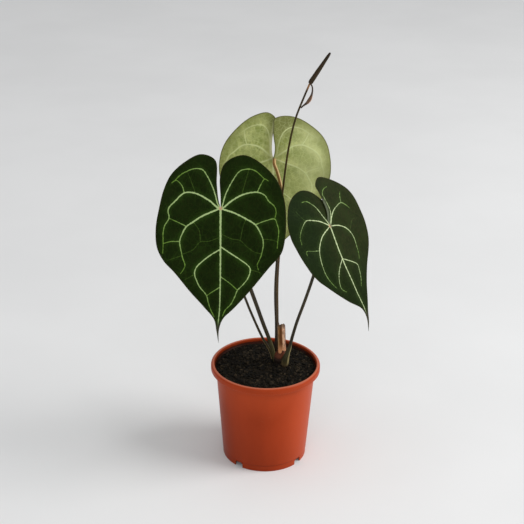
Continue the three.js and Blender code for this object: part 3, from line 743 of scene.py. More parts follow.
def make_crumbs(look):
    ball, ball_faces = crumb_shape()
    points, faces, tones = [], [], []
    wall = inner_wall(SOIL_LEVEL)
    for _ in range(CRUMB_COUNT):
        size = 0.5 + 2.1 * rng.random() ** 3
        stretch = np.array([1.0, rng.uniform(0.55, 1.0), rng.uniform(0.4, 0.85)])
        if rng.random() < TWIG_SHARE:
            stretch = np.array([1.9, rng.uniform(0.4, 0.7), 0.35])
        radius = (wall - size * stretch[0] - 0.2) * math.sqrt(rng.random())
        turn = rng.uniform(0, 2 * math.pi)
        x, y = radius * math.cos(turn), radius * math.sin(turn)
        rotation = np.array(Matrix.Rotation(rng.uniform(0, 2 * math.pi), 3, "Z")
                            @ Matrix.Rotation(rng.normal(0, 0.35), 3, "X"))
        lumps = ball * (size * (0.75 + 0.5 * rng.random((len(ball), 1)))) * stretch
        centre = np.array([x, y, soil_height(x, y) + 0.25 * size * stretch[2]])
        faces.extend([v + len(points) * len(ball) for v in face] for face in ball_faces)
        points.append(lumps @ rotation.T + centre)
        tones.extend([rng.random() ** 1.5] * len(ball))
    crumbs = new_piece("soil_crumbs", np.vstack(points), faces, [look], {"tone": tones})
    shade_smooth(crumbs.data, False)
    place(crumbs, "potting_mix")


# Stems

def frames_along(line, across):
    """Two unit vectors square to a line at each point. The first stays as near as it can to across."""
    run = direction(line)
    first = unit(across[None] - (run @ across)[:, None] * run)
    return first, np.cross(run, first)


def tube(line, radius, sides, across, section=None):
    """A closed tube. radius gives a radius a point; section changes it by point and turn."""
    first, second = frames_along(line, np.asarray(across, float))
    turns, count = around(sides), len(line)
    reach = np.repeat(radius[:, None], sides, axis=1)
    if section is not None:
        reach = reach * section(np.linspace(0, 1, count)[:, None], turns[None])
    out = first[:, None] * np.cos(turns)[None, :, None] + second[:, None] * np.sin(turns)[None, :, None]
    points = np.vstack([(line[:, None] + out * reach[..., None]).reshape(-1, 3), line[:1], line[-1:]])
    rings = [ring(i * sides, sides) for i in range(count)]
    faces = [face for lower, upper in zip(rings, rings[1:]) for face in band(lower, upper)]
    foot, top = len(points) - 2, len(points) - 1
    for j in range(sides):
        k = (j + 1) % sides
        faces.append([foot, k, j])
        faces.append([top, rings[-1][j], rings[-1][k]])
    run = run_along(line)
    straight = np.stack([reach * np.cos(turns), reach * np.sin(turns),
                         np.repeat(run[:, None], sides, axis=1)], axis=2).reshape(-1, 3)
    turned = np.tile(np.column_stack([np.cos(turns), np.sin(turns), 0 * turns]), (count, 1))
    return points, faces, {
        "straight": np.vstack([straight, [[0, 0, 0], [0, 0, run[-1]]]]),
        "round": np.vstack([turned, [[0, 0, 0], [0, 0, 0]]]),
        "share": np.concatenate([np.repeat(run / run[-1], sides), [0, 1]]),
    }


def radius_at(radii, steps):
    shares, values = zip(*radii)
    return np.interp(np.linspace(0, 1, steps), shares, values)


def make_stem(node, path, radii, look, steps=150, sides=20, across=(0, -1, 0), section=None,
              slot="petiole_skin"):
    """A tube along a path. radii gives the radius at shares of its length."""
    line = by_length(spline(path, 24), steps)
    points, faces, attributes = tube(line, radius_at(radii, steps), sides, across, section)
    place(new_piece(node + "_skin", points, faces, [look], attributes), slot, node)


# Leaves. The same frame and formula as in the solids: across and along are millimetres in a
# leaf's own plane, along running from the junction to the drip tip. facing, lift and roll are in degrees,
# and seat is where the petiole meets the blade. lip is how many points of the right half's margin have a
# turned edge beside the sinus, and between which depths that edge fades.

LEAVES = {
    "front_left": {
        "junction": (-47.3, -45, 311), "facing": 3, "lift": 18, "roll": 0,
        "midrib": [(0, 0), (-0.5, 60), (-1.5, 102), (-3.4, 122), (-2.8, 137)],
        "seat": (0, 2.6), "vein_scale": 1.0, "reach": 70, "curl": 0.0006, "droop": 0.0004, "valley": 0.05,
        "ripple": 1.5, "waves": 7, "phase": 0.5, "lobe_lift": (0, 0), "lift_start": (4, 30),
        "left": [(2, -8), (3.6, -24), (5, -48), (19, -54), (35.5, -46.3), (49, -34), (56.5, -19),
                 (61, -2), (65, 20), (64, 39), (57.4, 52.5), (47, 64), (31, 85), (16.5, 101.5), (7.2, 113),
                 (4.9, 124)],
        "right": [(0, -11), (-0.4, -32), (5, -45.5), (22, -53), (36, -48), (55, -30), (63.5, -10),
                  (65.8, 15), (63, 39.5), (59.8, 47.5), (50, 59), (39.8, 71.5), (29.5, 83.5), (12, 102),
                  (2, 112), (-2.1, 123)],
        "left_veins": [
            ("lateral", [(0, 0), (-5, 2), (-18, 7.5), (-27.5, 13.5), (-34, 18), (-39, 26.5), (-41, 33),
                         (-40, 40.5), (-38, 50), (-36, 57), (-37.5, 61), (-41, 66)]),
            ("lateral", [(0, 0), (-2.5, -0.5), (-11.5, -8), (-25, -15), (-36, -15.5), (-44, -8.5),
                         (-52, 0.5), (-51.5, 9.5), (-56, 17.5), (-57.5, 25), (-57.5, 35), (-58, 45)]),
            ("lobe", [(0, 0), (-2.5, -3.5), (-6.5, -17.5), (-13, -32), (-18, -38.5), (-25.5, -39.5),
                      (-33, -37), (-40, -33), (-46, -27)]),
            ("branch", [(0, 41), (-9.5, 46.5), (-20, 54.5), (-25, 60), (-26.5, 66), (-25, 71.5), (-22, 78.5),
                        (-14.5, 88.5), (-13, 94.5), (-10.5, 102.5), (-7, 110)]),
            ("link", [(-36, -15.5), (-38.5, -23), (-44, -28), (-49, -25)]),
            ("link", [(-34, 18), (-43, 13.5), (-51.5, 9.5)]),
            ("link", [(-41, 33), (-49.5, 33), (-57.5, 35)]),
            ("link", [(-1, 79.5), (-8, 84), (-14.5, 88.5)]),
            ("faint", [(-25, -15), (-28.5, -25.5), (-33, -37)]),
            ("faint", [(-2, 29.5), (-12, 33), (-20.5, 33.5), (-27.5, 41), (-39, 46)]),
            ("faint", [(-20.5, 33.5), (-21.5, 22), (-27, 14)]),
            ("faint", [(-39, 47), (-48, 50), (-54, 52)]),
            ("faint", [(-26.5, 66), (-33, 70), (-37, 72)]),
        ],
        "right_veins": [
            ("lateral", [(0, 0), (2.5, 1), (13, 4.5), (26, 11), (34.5, 16.5), (40, 25.5), (42.5, 33.5),
                         (42, 41.5), (39.5, 50.5), (36.5, 57.5), (38, 63)]),
            ("lateral", [(0, 0), (2.5, -0.5), (10.5, -7), (21, -13), (30, -15.5), (36.5, -16), (44, -13),
                         (48, -7), (53.5, -2), (55.5, 4), (54, 11)]),
            ("lobe", [(0, 0), (1.5, -2), (5, -13.5), (13, -29), (19.5, -37), (28.5, -39), (35, -37),
                      (44, -29)]),
            ("branch", [(0, 38.5), (10, 45.5), (20.5, 52.5), (29, 60), (29, 65.5), (26.5, 71.5), (20.5, 78.5),
                        (16.5, 82.5), (14, 88.5), (10, 96.5), (4, 103), (1, 110)]),
            ("link", [(36.5, -16), (40.5, -24), (44, -29), (48, -27)]),
            ("link", [(34.5, 16.5), (45.5, 12.5), (54, 11), (56.5, 16.5), (58, 23), (57, 33.5), (56.5, 41)]),
            ("faint", [(42.5, 31), (49.5, 31.5), (57, 33.5)]),
            ("link", [(0, 69), (9, 75.5), (16.5, 82.5)]),
            ("faint", [(21, -13), (25, -27), (28.5, -39)]),
            ("faint", [(2, 26.5), (10.5, 30.5), (19.5, 32.5), (26, 38.5), (33.5, 44), (41, 46)]),
            ("faint", [(19.5, 32.5), (22, 20), (25, 11)]),
            ("faint", [(29, 62), (36, 64), (41, 66)]),
        ],
    },
    "right": {
        "junction": (64.6, -8, 278.5), "facing": 40, "lift": 28, "roll": 7,
        "midrib": [(0, 0), (-1, 36), (1, 72), (2.6, 98), (0.5, 110), (-2.4, 117.7)],
        "seat": (0, 2.6), "vein_scale": 0.62, "reach": 55, "curl": 0.0012, "droop": 0.0008, "valley": 0.06,
        "ripple": 1.3, "waves": 6, "phase": 1.2, "lobe_lift": (-1.4, 1.4), "lift_start": (1, 14),
        "left": [(-0.3, -6), (-4.2, -12), (-6.1, -18), (-5.8, -24), (-3.4, -29), (5.2, -40), (17, -46),
                 (28, -44.5), (41, -36.5), (51.5, -21), (53.2, -7), (51.8, 7), (50.2, 22), (46.6, 36),
                 (39.2, 48), (32.5, 55.5), (12, 81), (0.5, 93.5), (-1.3, 104)],
        "right": [(-0.2, -6), (1.9, -12), (3.1, -18), (3.1, -25), (1.8, -37), (0.9, -44.5), (8.9, -51),
                  (22, -46), (38, -29.5), (45.3, -13), (46.8, 4), (44.2, 20), (40.5, 34), (36, 44),
                  (28.5, 56), (18, 73), (10.8, 88), (5.8, 99), (2.6, 108)],
        "lip": (6, 25, 31),
        "left_veins": [
            ("lateral", [(0, 0), (-2.5, 1), (-13.5, 5.5), (-20, 10.5), (-26, 18), (-29, 29.5), (-28.5, 42),
                         (-25, 53), (-20, 62.5)]),
            ("lateral", [(0, 0), (-4.5, -4), (-10, -8.5), (-19, -13), (-27.5, -15.5), (-33, -13), (-38.5, -8),
                         (-42, -3), (-43.5, 5)]),
            ("lobe", [(0, 0), (-1, -4), (-4, -14.5), (-7.5, -23.5), (-12, -29.5), (-16.5, -33.5),
                      (-23, -34.5)]),
            ("branch", [(-1, 36.5), (-6.5, 42), (-12, 49.5), (-15, 58.5), (-15, 65), (-11, 70)]),
            ("link", [(-26, 18), (-34, 15.5), (-41.5, 13), (-43, 18)]),
            ("faint", [(-27.5, -15), (-31, -19.5), (-35.5, -29.5)]),
        ],
        "right_veins": [
            ("lateral", [(0, 0), (1.5, 0.5), (9.5, 3), (16.5, 7.5), (21, 13.5), (23.5, 22), (23.5, 31),
                         (23, 39.5), (20.5, 46)]),
            ("lateral", [(0, 0), (2, -1.5), (5.5, -7.5), (10.4, -12.5), (16.7, -15.5), (24.5, -17),
                         (29.5, -12.5), (33.5, -7)]),
            ("lobe", [(0, 0), (3.4, -5.4), (7, -15.5), (6, -29), (5.5, -33.5), (9.8, -37.5), (16.2, -38.5)]),
            ("branch", [(-1, 36.5), (3.5, 39.5), (15.5, 49.5), (15, 55.5), (13, 63.5), (9, 72)]),
            ("link", [(24.5, -17), (26, -23), (29, -28.5)]),
            ("faint", [(21.5, 14), (30, 4.5), (35, 3.5)]),
        ],
    },
    "back": {
        "junction": (4.7, 44, 334.4), "facing": 180, "lift": 16, "roll": 0,
        "midrib": [(0, 0), (-0.6, 45), (-3, 90), (-8, 138)],
        "seat": (-1.3, 2.6), "vein_scale": 1.1, "reach": 65, "curl": 0.0004, "droop": 0.0005, "valley": 0.05,
        "ripple": 1.5, "waves": 7, "phase": 2.0, "lobe_lift": (-1.7, 1.7), "lift_start": (4, 30),
        "lip": (5, 42, 50),
        "left": [(1, -4), (1.4, -14), (-0.4, -30), (-0.4, -42), (0.2, -50.5), (7.5, -53.3), (28, -48),
                 (46, -34.5), (57, -15), (61.8, 14), (58.5, 42), (47, 67), (22, 104), (12, 118), (7.8, 127)],
        "right": [(1, -4), (1.6, -14), (1, -27), (-1.4, -40), (-1.2, -50), (7, -56.5), (20, -52),
                  (41, -33.5), (53, -12), (57.8, 13), (54, 40), (41, 65), (14, 99), (0, 117), (-5.5, 128)],
        "left_veins": [
            ("lateral", [(0, 0), (-2.5, -1), (-11, -7.5), (-20.5, -14.5), (-30, -16), (-39, -11.5), (-46, -6),
                         (-50.5, 1.5), (-51.5, 8.5), (-54, 17), (-54, 28)]),
            ("lateral", [(0, 0), (-3.5, 2.5), (-16.5, 8.5), (-26, 13), (-34.5, 20.5), (-38.5, 28),
                         (-42, 36.5), (-41, 48), (-36, 58)]),
            ("lobe", [(0, 0), (-3, -3.5), (-5, -16.5), (-8.5, -29.5), (-13.5, -36), (-20, -38.5),
                      (-29.5, -36.5), (-36.5, -31.5), (-42, -27)]),
            ("branch", [(-0.5, 40), (-10, 46), (-20, 54), (-27, 62), (-27, 70), (-21, 84), (-14, 98)]),
            ("link", [(-34.5, 20.5), (-41, 16), (-49, 12.5)]),
            ("link", [(-30, -16), (-34, -24), (-36.5, -31.5)]),
            ("link", [(-1.5, 72), (-9, 78), (-19, 87)]),
        ],
        "right_veins": [
            ("lateral", [(0, 0), (4, -3), (12.5, -11.5), (18, -14.5), (28, -16), (34.5, -13), (41.5, -5.5),
                         (47.5, 0.5), (51, 14), (51, 28)]),
            ("lateral", [(0, 0), (4, 2.5), (16.5, 8.5), (26, 13), (34.5, 20.5), (38.5, 28), (40, 36.5),
                         (38, 48), (33, 58)]),
            ("lobe", [(0, 0), (2.4, -3.5), (3.8, -20), (6.5, -34), (11.5, -40), (18.5, -40), (25, -37.5),
                      (34, -31)]),
            ("branch", [(-0.5, 39), (9, 46), (18, 54), (24, 62), (24, 70), (17, 84), (8, 98)]),
            ("link", [(28, -16), (30, -25), (30.5, -34)]),
            ("link", [(34.5, 20.5), (42, 17), (51, 14)]),
            ("link", [(-1.5, 72), (7, 79), (15, 87)]),
        ],
    },
}

# Each kind of vein: half its width and its strength, at its start and at its end
VEINS = {
    "midrib": (0.95, 0.3, 1.0, 0.75),
    "lateral": (0.8, 0.28, 1.0, 0.3),
    "lobe": (0.5, 0.34, 0.85, 0.35),
    "branch": (0.55, 0.3, 0.95, 0.4),
    "link": (0.36, 0.28, 0.6, 0.35),
    "faint": (0.28, 0.25, 0.14, 0.1),
}

VALLEY_ROUNDING = 8
LOBE_LIFT_WIDTH = 14
MARGIN_SCALE = 0.9975
MARGIN_STEP = 0.9
VEIN_STEP = 1.0
GRID_SPACING = 1.25
GRID_JITTER = 0.16
NEAREST_POINTS = 0.5
NORMAL_STEP = 0.5
PUFF = 0.45
UNEVENNESS = 0.35
LIP_FOLD = 0.7
MARGIN_HALF_THICKNESS = 0.13
ADDED_HALF_THICKNESS = 0.17
ADDED_AT_LIP = 0.12
GROOVE_ABOVE_VEIN = 0.16
RIB_UNDER_VEIN = 0.34
ROOT_DEPTH = 96


def leaf_turn(leaf):
    turns = ((leaf["facing"], "Z"), (90 - leaf["lift"], "X"), (leaf["roll"], "Z"))
    facing, lift, roll = (Matrix.Rotation(math.radians(degrees), 3, axis) for degrees, axis in turns)
    return np.array(facing @ lift @ roll)


def blade_point(leaf, across, along, side):
    angle = leaf["curl"] * along
    run = np.sin(angle) / leaf["curl"]
    drop = (1 - np.cos(angle)) / leaf["curl"]
    radius = np.hypot(across, along) / leaf["reach"]
    bearing = np.arctan2(across, along)
    near_sinus = bell(across, 0, LOBE_LIFT_WIDTH) * smoothstep(-along, *leaf["lift_start"])
    height = (
        leaf["valley"] * (np.hypot(across, VALLEY_ROUNDING) - VALLEY_ROUNDING)
        - leaf["droop"] * across ** 2
        + leaf["ripple"] * radius ** 2 * np.sin(leaf["waves"] * bearing + leaf["phase"])
        + np.where(side < 0, *leaf["lobe_lift"]) * near_sinus
    )
    return np.stack([across, -run - height * np.sin(angle), height * np.cos(angle) - drop], axis=-1)


def blade_normal(leaf, across, along, side):
    step = NORMAL_STEP
    by_across = blade_point(leaf, across + step, along, side) - blade_point(leaf, across - step, along, side)
    by_along = blade_point(leaf, across, along + step, side) - blade_point(leaf, across, along - step, side)
    return unit(np.cross(by_along, by_across))


def rows_beside(line, offsets):
    run = direction(line)
    out = np.column_stack([-run[:, 1], run[:, 0]])
    return np.vstack([line + offset * out for offset in offsets])


def thin_out(places, taken, spacing):
    """Drops the places that lie too near those already taken, or each other."""
    grid, kept = {}, []
    for x, y in taken:
        grid.setdefault((int(x // spacing), int(y // spacing)), []).append((x, y))
    for x, y in places:
        i, j = int(x // spacing), int(y // spacing)
        near = (p for di in (-1, 0, 1) for dj in (-1, 0, 1) for p in grid.get((i + di, j + dj), ()))
        if all((x - px) ** 2 + (y - py) ** 2 >= spacing ** 2 for px, py in near):
            grid.setdefault((i, j), []).append((x, y))
            kept.append((x, y))
    return np.array(kept).reshape(-1, 2)


def hex_grid(low, high, spacing):
    rows = []
    for i, y in enumerate(np.arange(low[1], high[1], spacing * 0.866)):
        x = np.arange(low[0] + (i % 2) * spacing / 2, high[0], spacing)
        rows.append(np.column_stack([x, np.full(len(x), y)]))
    return np.vstack(rows)


def add_vein(line, fixed):
    """Adds a vein's points to the fixed ones, or takes those it meets, and gives back its edges."""
    chain = []
    for n, spot in enumerate(line):
        gap = np.linalg.norm(np.array(fixed) - spot, axis=1)
        if gap.min() < (1.1 if n in (0, len(line) - 1) else 0.3):
            chain.append(int(gap.argmin()))
        else:
            chain.append(len(fixed))
            fixed.append(tuple(spot))
    return [(a, b) for a, b in zip(chain, chain[1:]) if a != b]


def half_blade(leaf, side, midrib):
    """Triangles of one half of a blade, with points along its margin and on every vein."""
    half = "left" if side < 0 else "right"
    outline = [(side * a * MARGIN_SCALE, b * MARGIN_SCALE) for a, b in leaf[half]]
    margin = even([(0, 0), *outline, tuple(midrib[-1])], MARGIN_STEP)
    polygon = np.vstack([margin[:-1], midrib[:0:-1]])
    count = len(midrib)
    fixed = [tuple(p) for p in [*midrib, *margin[1:-1]]]
    chain = [0, *range(count, len(fixed)), count - 1]
    edges = [*zip(range(count - 1), range(1, count)), *zip(chain, chain[1:])]
    lines = [("midrib", midrib)]
    for kind, knots in leaf[half + "_veins"]:
        line = even(knots, VEIN_STEP)
        line = line[inside(line, polygon) | (np.arange(len(line)) == 0)]
        edges += add_vein(line, fixed)
        lines.append((kind, line))
    beside = [rows_beside(line, (-0.75, 0.75, -1.5, 1.5)) for kind, line in lines if kind != "faint"]
    inner = rows_beside(margin, (side * 0.5, side * 1.2))
    grid = hex_grid(polygon.min(0), polygon.max(0), GRID_SPACING)
    spare = np.vstack([inner, *beside, grid + rng.uniform(-GRID_JITTER, GRID_JITTER, grid.shape)])
    spare = thin_out(spare[inside(spare, polygon)], fixed, NEAREST_POINTS)
    spare = spare[distance_to(spare, np.vstack([polygon, polygon[:1]]))[0] > NEAREST_POINTS / 2]
    everything = [Vector(p) for p in [*fixed, *spare]]
    points, _, faces, origins, _, _ = delaunay_2d_cdt(everything, edges, [], 1, 1e-4)
    places = np.array(points)
    on_midrib = [min((o for o in origin if o < count), default=-1) for origin in origins]
    lip = np.zeros(len(places))
    if side > 0 and "lip" in leaf:
        knots, fading, painted_light = leaf["lip"]
        from_sinus, _ = distance_to(places, spline([(0, 0), *outline[:knots]]))
        lip = (1 - smoothstep(from_sinus, 1.2, 3.4)) * (1 - smoothstep(-places[:, 1], fading, painted_light))
    to_margin, _ = distance_to(places, margin)
    fields = [*vein_fields(places, lines, leaf["vein_scale"]), to_margin, lip]
    return places, faces, on_midrib, np.column_stack(fields)


def vein_fields(places, lines, scale):
    """How far each place is from the nearest vein's edge, that vein's strength there, and its relief."""
    gap = np.full(len(places), 99.0)
    strength = np.zeros(len(places))
    relief = np.zeros(len(places))
    for kind, line in lines:
        wide, narrow, strong, weak = VEINS[kind]
        distance, share = distance_to(places, line)
        beyond = distance - scale * (wide + (narrow - wide) * share)
        power = strong + (weak - strong) * share ** 1.6
        closer = beyond + (0.8 if kind == "faint" else 0) < gap
        strength = np.where(closer, power, strength)
        gap = np.where(closer, beyond, gap)
        relief = np.maximum(relief, power * (1 - smoothstep(beyond, -0.6, 0.55)))
    return gap, strength, relief


def make_leaf(key, top_look, under_look, slot):
    leaf, name = LEAVES[key], "leaf_" + key
    midrib = even(leaf["midrib"], VEIN_STEP)
    flat, sides, fields, faces, rib_index = [], [], [], [], {}
    for side in (-1, 1):
        places, half_faces, on_midrib, half_fields = half_blade(leaf, side, midrib)
        numbers = []
        for spot, rib, row in zip(places, on_midrib, half_fields):
            if rib >= 0 and rib in rib_index:
                numbers.append(rib_index[rib])
                continue
            if rib >= 0:
                rib_index[rib] = len(flat)
            numbers.append(len(flat))
            flat.append(spot)
            sides.append(0 if rib >= 0 else side)
            fields.append(row)
        faces.extend([numbers[v] for v in face] for face in half_faces)
    flat, sides = np.array(flat), np.array(sides)
    across, along = flat.T
    gap, strength, relief, to_margin, lip = np.array(fields).T
    wander = np.array([noise.noise(Vector((0.07 * x, 0.07 * y, leaf["phase"]))) for x, y in flat])
    puff = PUFF * smoothstep(gap, 0.5, 9) * smoothstep(to_margin, 0, 9)
    middle = puff + UNEVENNESS * wander * smoothstep(to_margin, 0, 14) - LIP_FOLD * lip
    half = MARGIN_HALF_THICKNESS + ADDED_HALF_THICKNESS * smoothstep(to_margin, 0, 1.3) + ADDED_AT_LIP * lip
    sheet = blade_point(leaf, across, along, sides)
    normal = blade_normal(leaf, across, along, sides)
    top = sheet + normal * (middle + half - GROOVE_ABOVE_VEIN * relief)[:, None]
    under = sheet + normal * (middle - half - RIB_UNDER_VEIN * relief)[:, None]
    points = np.vstack([top, under]) @ leaf_turn(leaf).T + np.array(leaf["junction"])
    count = len(flat)
    used = dict.fromkeys(edge for a, b, c in faces for edge in ((a, b), (b, c), (c, a)))
    rim = [[b, a, a + count, b + count] for a, b in used if (b, a) not in used]
    mirrored = [[c + count, b + count, a + count] for a, b, c in faces]
    kinds = [0] * len(faces) + [1] * len(mirrored) + [0] * len(rim)
    spread = {
        "flat": np.column_stack([flat, np.zeros(count)]),
        "vein_gap": gap, "vein_strength": strength, "margin": to_margin, "lip": lip,
    }
    attributes = {field: np.concatenate([values, values]) for field, values in spread.items()}
    every = faces + mirrored + rim
    place(new_piece(name + "_blade", points, every, [top_look, under_look], attributes, kinds), slot, name)


def make_leaves():
    under = leaf_under_look(
        "leaf_underside", blade_dark=srgb(138, 150, 88), blade_light=srgb(166, 176, 114),
        vein=srgb(182, 194, 134), inner_shade=0.0,
    )
    back_under = leaf_under_look(
        "leaf_back_underside", blade_dark=srgb(156, 168, 88), blade_light=srgb(199, 205, 132),
        vein=srgb(224, 232, 168), inner_shade=0.8,
    )
    dark_top = leaf_top_look(
        "leaf_velvet", dark=srgb(17, 29, 4), halo=srgb(38, 62, 14), pale=srgb(170, 192, 132),
        lime=srgb(108, 142, 58), gloss=0.035, sheen=0.0, tip_start=113, left_painted_shade=0.0,
    )
    # The right leaf's velvet is a lighter, greyer copy of the front leaf's: painted sheen where light grazes
    # it, with painted shade towards its left margin and tip.
    sheen_painted_top = leaf_top_look(
        "leaf_velvet_painted_sheen", dark=srgb(30, 38, 14), halo=srgb(44, 62, 24), pale=srgb(196, 210, 162),
        lime=srgb(116, 148, 76), gloss=0.05, sheen=0.03, tip_start=94, left_painted_shade=0.9,
    )
    make_leaf("front_left", dark_top, under, "leaf_velvet")
    make_leaf("right", sheen_painted_top, under, "leaf_velvet")
    make_leaf("back", dark_top, back_under, "leaf_underside")


# Petioles and stalks follow the same routes as in the solids

def petiole_end(leaf):
    """The last stretch of a petiole, square to the blade's underside, and a little into it."""
    turn = leaf_turn(leaf)
    face = turn @ np.array([0, 0, 1.0])
    across, along = leaf["seat"]
    seat = turn @ np.array([across, -along, 0]) + np.array(leaf["junction"])
    return [tuple(seat - face * depth) for depth in (BLADE_THICKNESS / 2 + SEAT_GAP + 8, 0.25)]


PETIOLES = {
    "front_left": [
        (10.6, 5.3, ROOT_DEPTH), (10.4, 5.4, 110), (8.3, 5.8, 121.8), (3.7, 4.4, 137.8), (-3.7, -1, 161.3),
        (-13.3, -9, 194), (-27.5, -20.5, 241), (-38, -30.5, 278), (-44, -36, 300),
    ],
    "right": [
        (20.6, 0.4, ROOT_DEPTH), (20.9, -0.6, 106), (21.2, -1.2, 113), (22.4, -1.6, 119.5), (24, -1.5, 124.3),
        (25.8, -1, 130), (28.3, -0.8, 142.6), (33, -1.6, 162.2), (41.9, -2.6, 191.9), (49.3, -3, 218.6),
        (57, -3, 250),
    ],
    "back": [
        (12.9, 14, ROOT_DEPTH), (12.6, 13.7, 127.5), (11.6, 14, 165), (10.9, 15, 195), (11.3, 17, 218),
        (13.1, 21.5, 250), (14.1, 26.5, 277), (14.1, 30.5, 300.5), (12.3, 32.2, 310.6), (8.8, 34.4, 322.5),
    ],
}
FLOWER_STALK = [
    (11.3, 9.4, ROOT_DEPTH), (11.1, 9.5, 122), (10.7, 9.3, 154), (9.3, 9.2, 185), (9.2, 9.1, 205),
    (10.2, 9.7, 228), (12.4, 10.4, 271), (15.3, 11.2, 312.4), (20.4, 12.6, 357), (26.6, 14.1, 386.8),
    (35.2, 15.3, 410.8), (40.1, 16, 423.2),
]
BUD_STALK = [
    (7.6, 13, ROOT_DEPTH), (7.1, 12.9, 112), (3.2, 12.5, 122.8), (-3, 11.2, 134.6), (-17.6, 6, 172),
    (-23.8, 4, 189.8), (-44.6, 0, 243.5), (-62, -4, 290),
]
BUD = [(-62.2, -4.04, 290.2), (-65.2, -4.6, 299), (-68, -4.6, 308), (-70, -4.2, 319)]
SPATHE = [
    (40.8, 14.9, 422.9), (42, 14.1, 421.4), (42.7, 14.1, 419), (42.8, 14, 415.8), (42, 13.8, 411.4),
    (40.3, 13.6, 407.1), (37.8, 13.4, 403.7), (34.1, 13.1, 400.8), (31.5, 12.7, 398.4),
]
SPATHE_SIDE = (1, -0.1, 0)
SPADIX_LENGTH = 36.6
SPADIX_LEAN = (18.6, 1, 30)


def angle_from(turn):
    """The turn as an angle between minus and plus half a circle."""
    return np.angle(np.exp(1j * turn))


def grooved(depth, width):
    """A shallow groove down a petiole's upper side, fading out at both ends."""
    def section(share, turn):
        fade = smoothstep(share, 0.04, 0.12) * (1 - smoothstep(share, 0.93, 0.98))
        return 1 - depth * bell(angle_from(turn), 0, width) * fade
    return section


def swollen(depth):
    """The right petiole's clasping base: a fold on one side and a node ring over a dip."""
    groove = grooved(depth, 0.5)

    def section(share, turn):
        low = 1 - smoothstep(share, 0.1, 0.2)
        fold = 0.16 * bell(angle_from(turn - 2.2), 0, 0.35)
        node = 0.08 * bell(share, 0.075, 0.006) - 0.06 * bell(share, 0.06, 0.006)
        return groove(share, turn) * (1 + (node - fold) * low)
    return section


def make_petiole(key, radii, look, **settings):
    make_stem("petiole_" + key, PETIOLES[key] + petiole_end(LEAVES[key]), radii, look, **settings)


def make_stems():
    tan = srgb(98, 84, 58)
    dusky = stem_look("petiole_dusky", [
        (0.0, 24, 18, 12), (0.06, 34, 30, 18), (0.09, 66, 66, 38), (0.14, 58, 56, 34),
        (0.3, 56, 50, 36), (0.85, 56, 48, 36), (0.96, 104, 72, 52), (1.0, 140, 102, 74),
    ], tan, speckle=0.5, highlight_strip=(52, 0.07, 0.2, srgb(124, 118, 80)))
    green = stem_look("petiole_green", [
        (0.0, 30, 18, 15), (0.07, 40, 24, 20), (0.085, 78, 68, 42), (0.11, 46, 44, 22),
        (0.16, 56, 54, 31), (0.22, 50, 45, 34), (0.8, 54, 50, 34), (0.95, 96, 78, 52),
        (1.0, 130, 102, 74),
    ], tan, speckle=0.55, highlight_strip=(130, 0.075, 0.22, srgb(156, 142, 98)))
    rusty = stem_look("petiole_rusty", [
        (0.0, 40, 30, 20), (0.1, 80, 64, 42), (0.3, 90, 74, 52), (0.55, 94, 72, 48),
        (0.8, 118, 86, 48), (0.93, 128, 94, 46), (1.0, 150, 104, 56),
    ], srgb(140, 116, 82), highlight_strip=(80, 0.78, 1.05, srgb(222, 188, 138)))
    thin = stem_look("stalk_thin", [
        (0.0, 56, 48, 30), (0.12, 80, 70, 46), (0.2, 62, 54, 38), (1.0, 46, 40, 30),
    ], srgb(104, 92, 66), highlight_strip=(-79, 0.05, 0.22, srgb(172, 150, 108)))
    dark = stem_look("stalk_dark", [
        (0.0, 46, 36, 24), (0.15, 50, 40, 30), (0.5, 52, 40, 14), (0.8, 56, 44, 8),
        (0.975, 44, 34, 18), (0.988, 150, 106, 66), (1.0, 150, 110, 70),
    ], srgb(86, 68, 28), speckle=0.2, roughness=0.42)
    make_petiole("front_left", [(0, 2.4), (0.12, 2.3), (0.2, 2.12), (0.93, 2.05), (0.965, 2.15), (1, 2.1)],
                 dusky, across=(0.5, -1, 0.3), section=grooved(0.16, 0.5))
    make_petiole("right", [(0, 3.4), (0.06, 4.2), (0.1, 4.4), (0.13, 3.5), (0.16, 2.4), (0.2, 1.88),
                           (0.3, 1.72), (0.93, 1.7), (0.96, 1.78), (1, 1.75)],
                 green, steps=220, sides=28, across=(-1, -0.6, 0), section=swollen(0.14))
    make_petiole("back", [(0, 2.1), (0.1, 2.1), (0.2, 1.85), (0.95, 1.83), (1, 1.85)],
                 rusty, across=(-0.2, -1, 0), section=grooved(0.26, 0.45))
    make_stem("flower_stalk", FLOWER_STALK, [(0, 1.4), (0.1, 1.25), (1, 1)], dark, steps=180, sides=16)
    make_stem("bud_stalk", BUD_STALK, [(0, 1.45), (0.2, 1.4), (1, 1.25)], thin, sides=16)


# The short stem, the dry sheath and the flower

STEM_CENTRE = (16.2, 6)
STEM_RADIUS = 8.6
STEM_TOP = 123
SHEATH_CENTRE = (18, 5)
SHEATH_RADIUS = 4.0
SHEATH_FOOT = 121
SHEATH_HEIGHT = 37.4
SHEATH_OPENING = math.radians(70)
SHEATH_LEAN = -0.045
SHEATH_TAPER = 0.002
FOOT_FLARE = 0.25
FOOT_FLARE_HEIGHT = 12


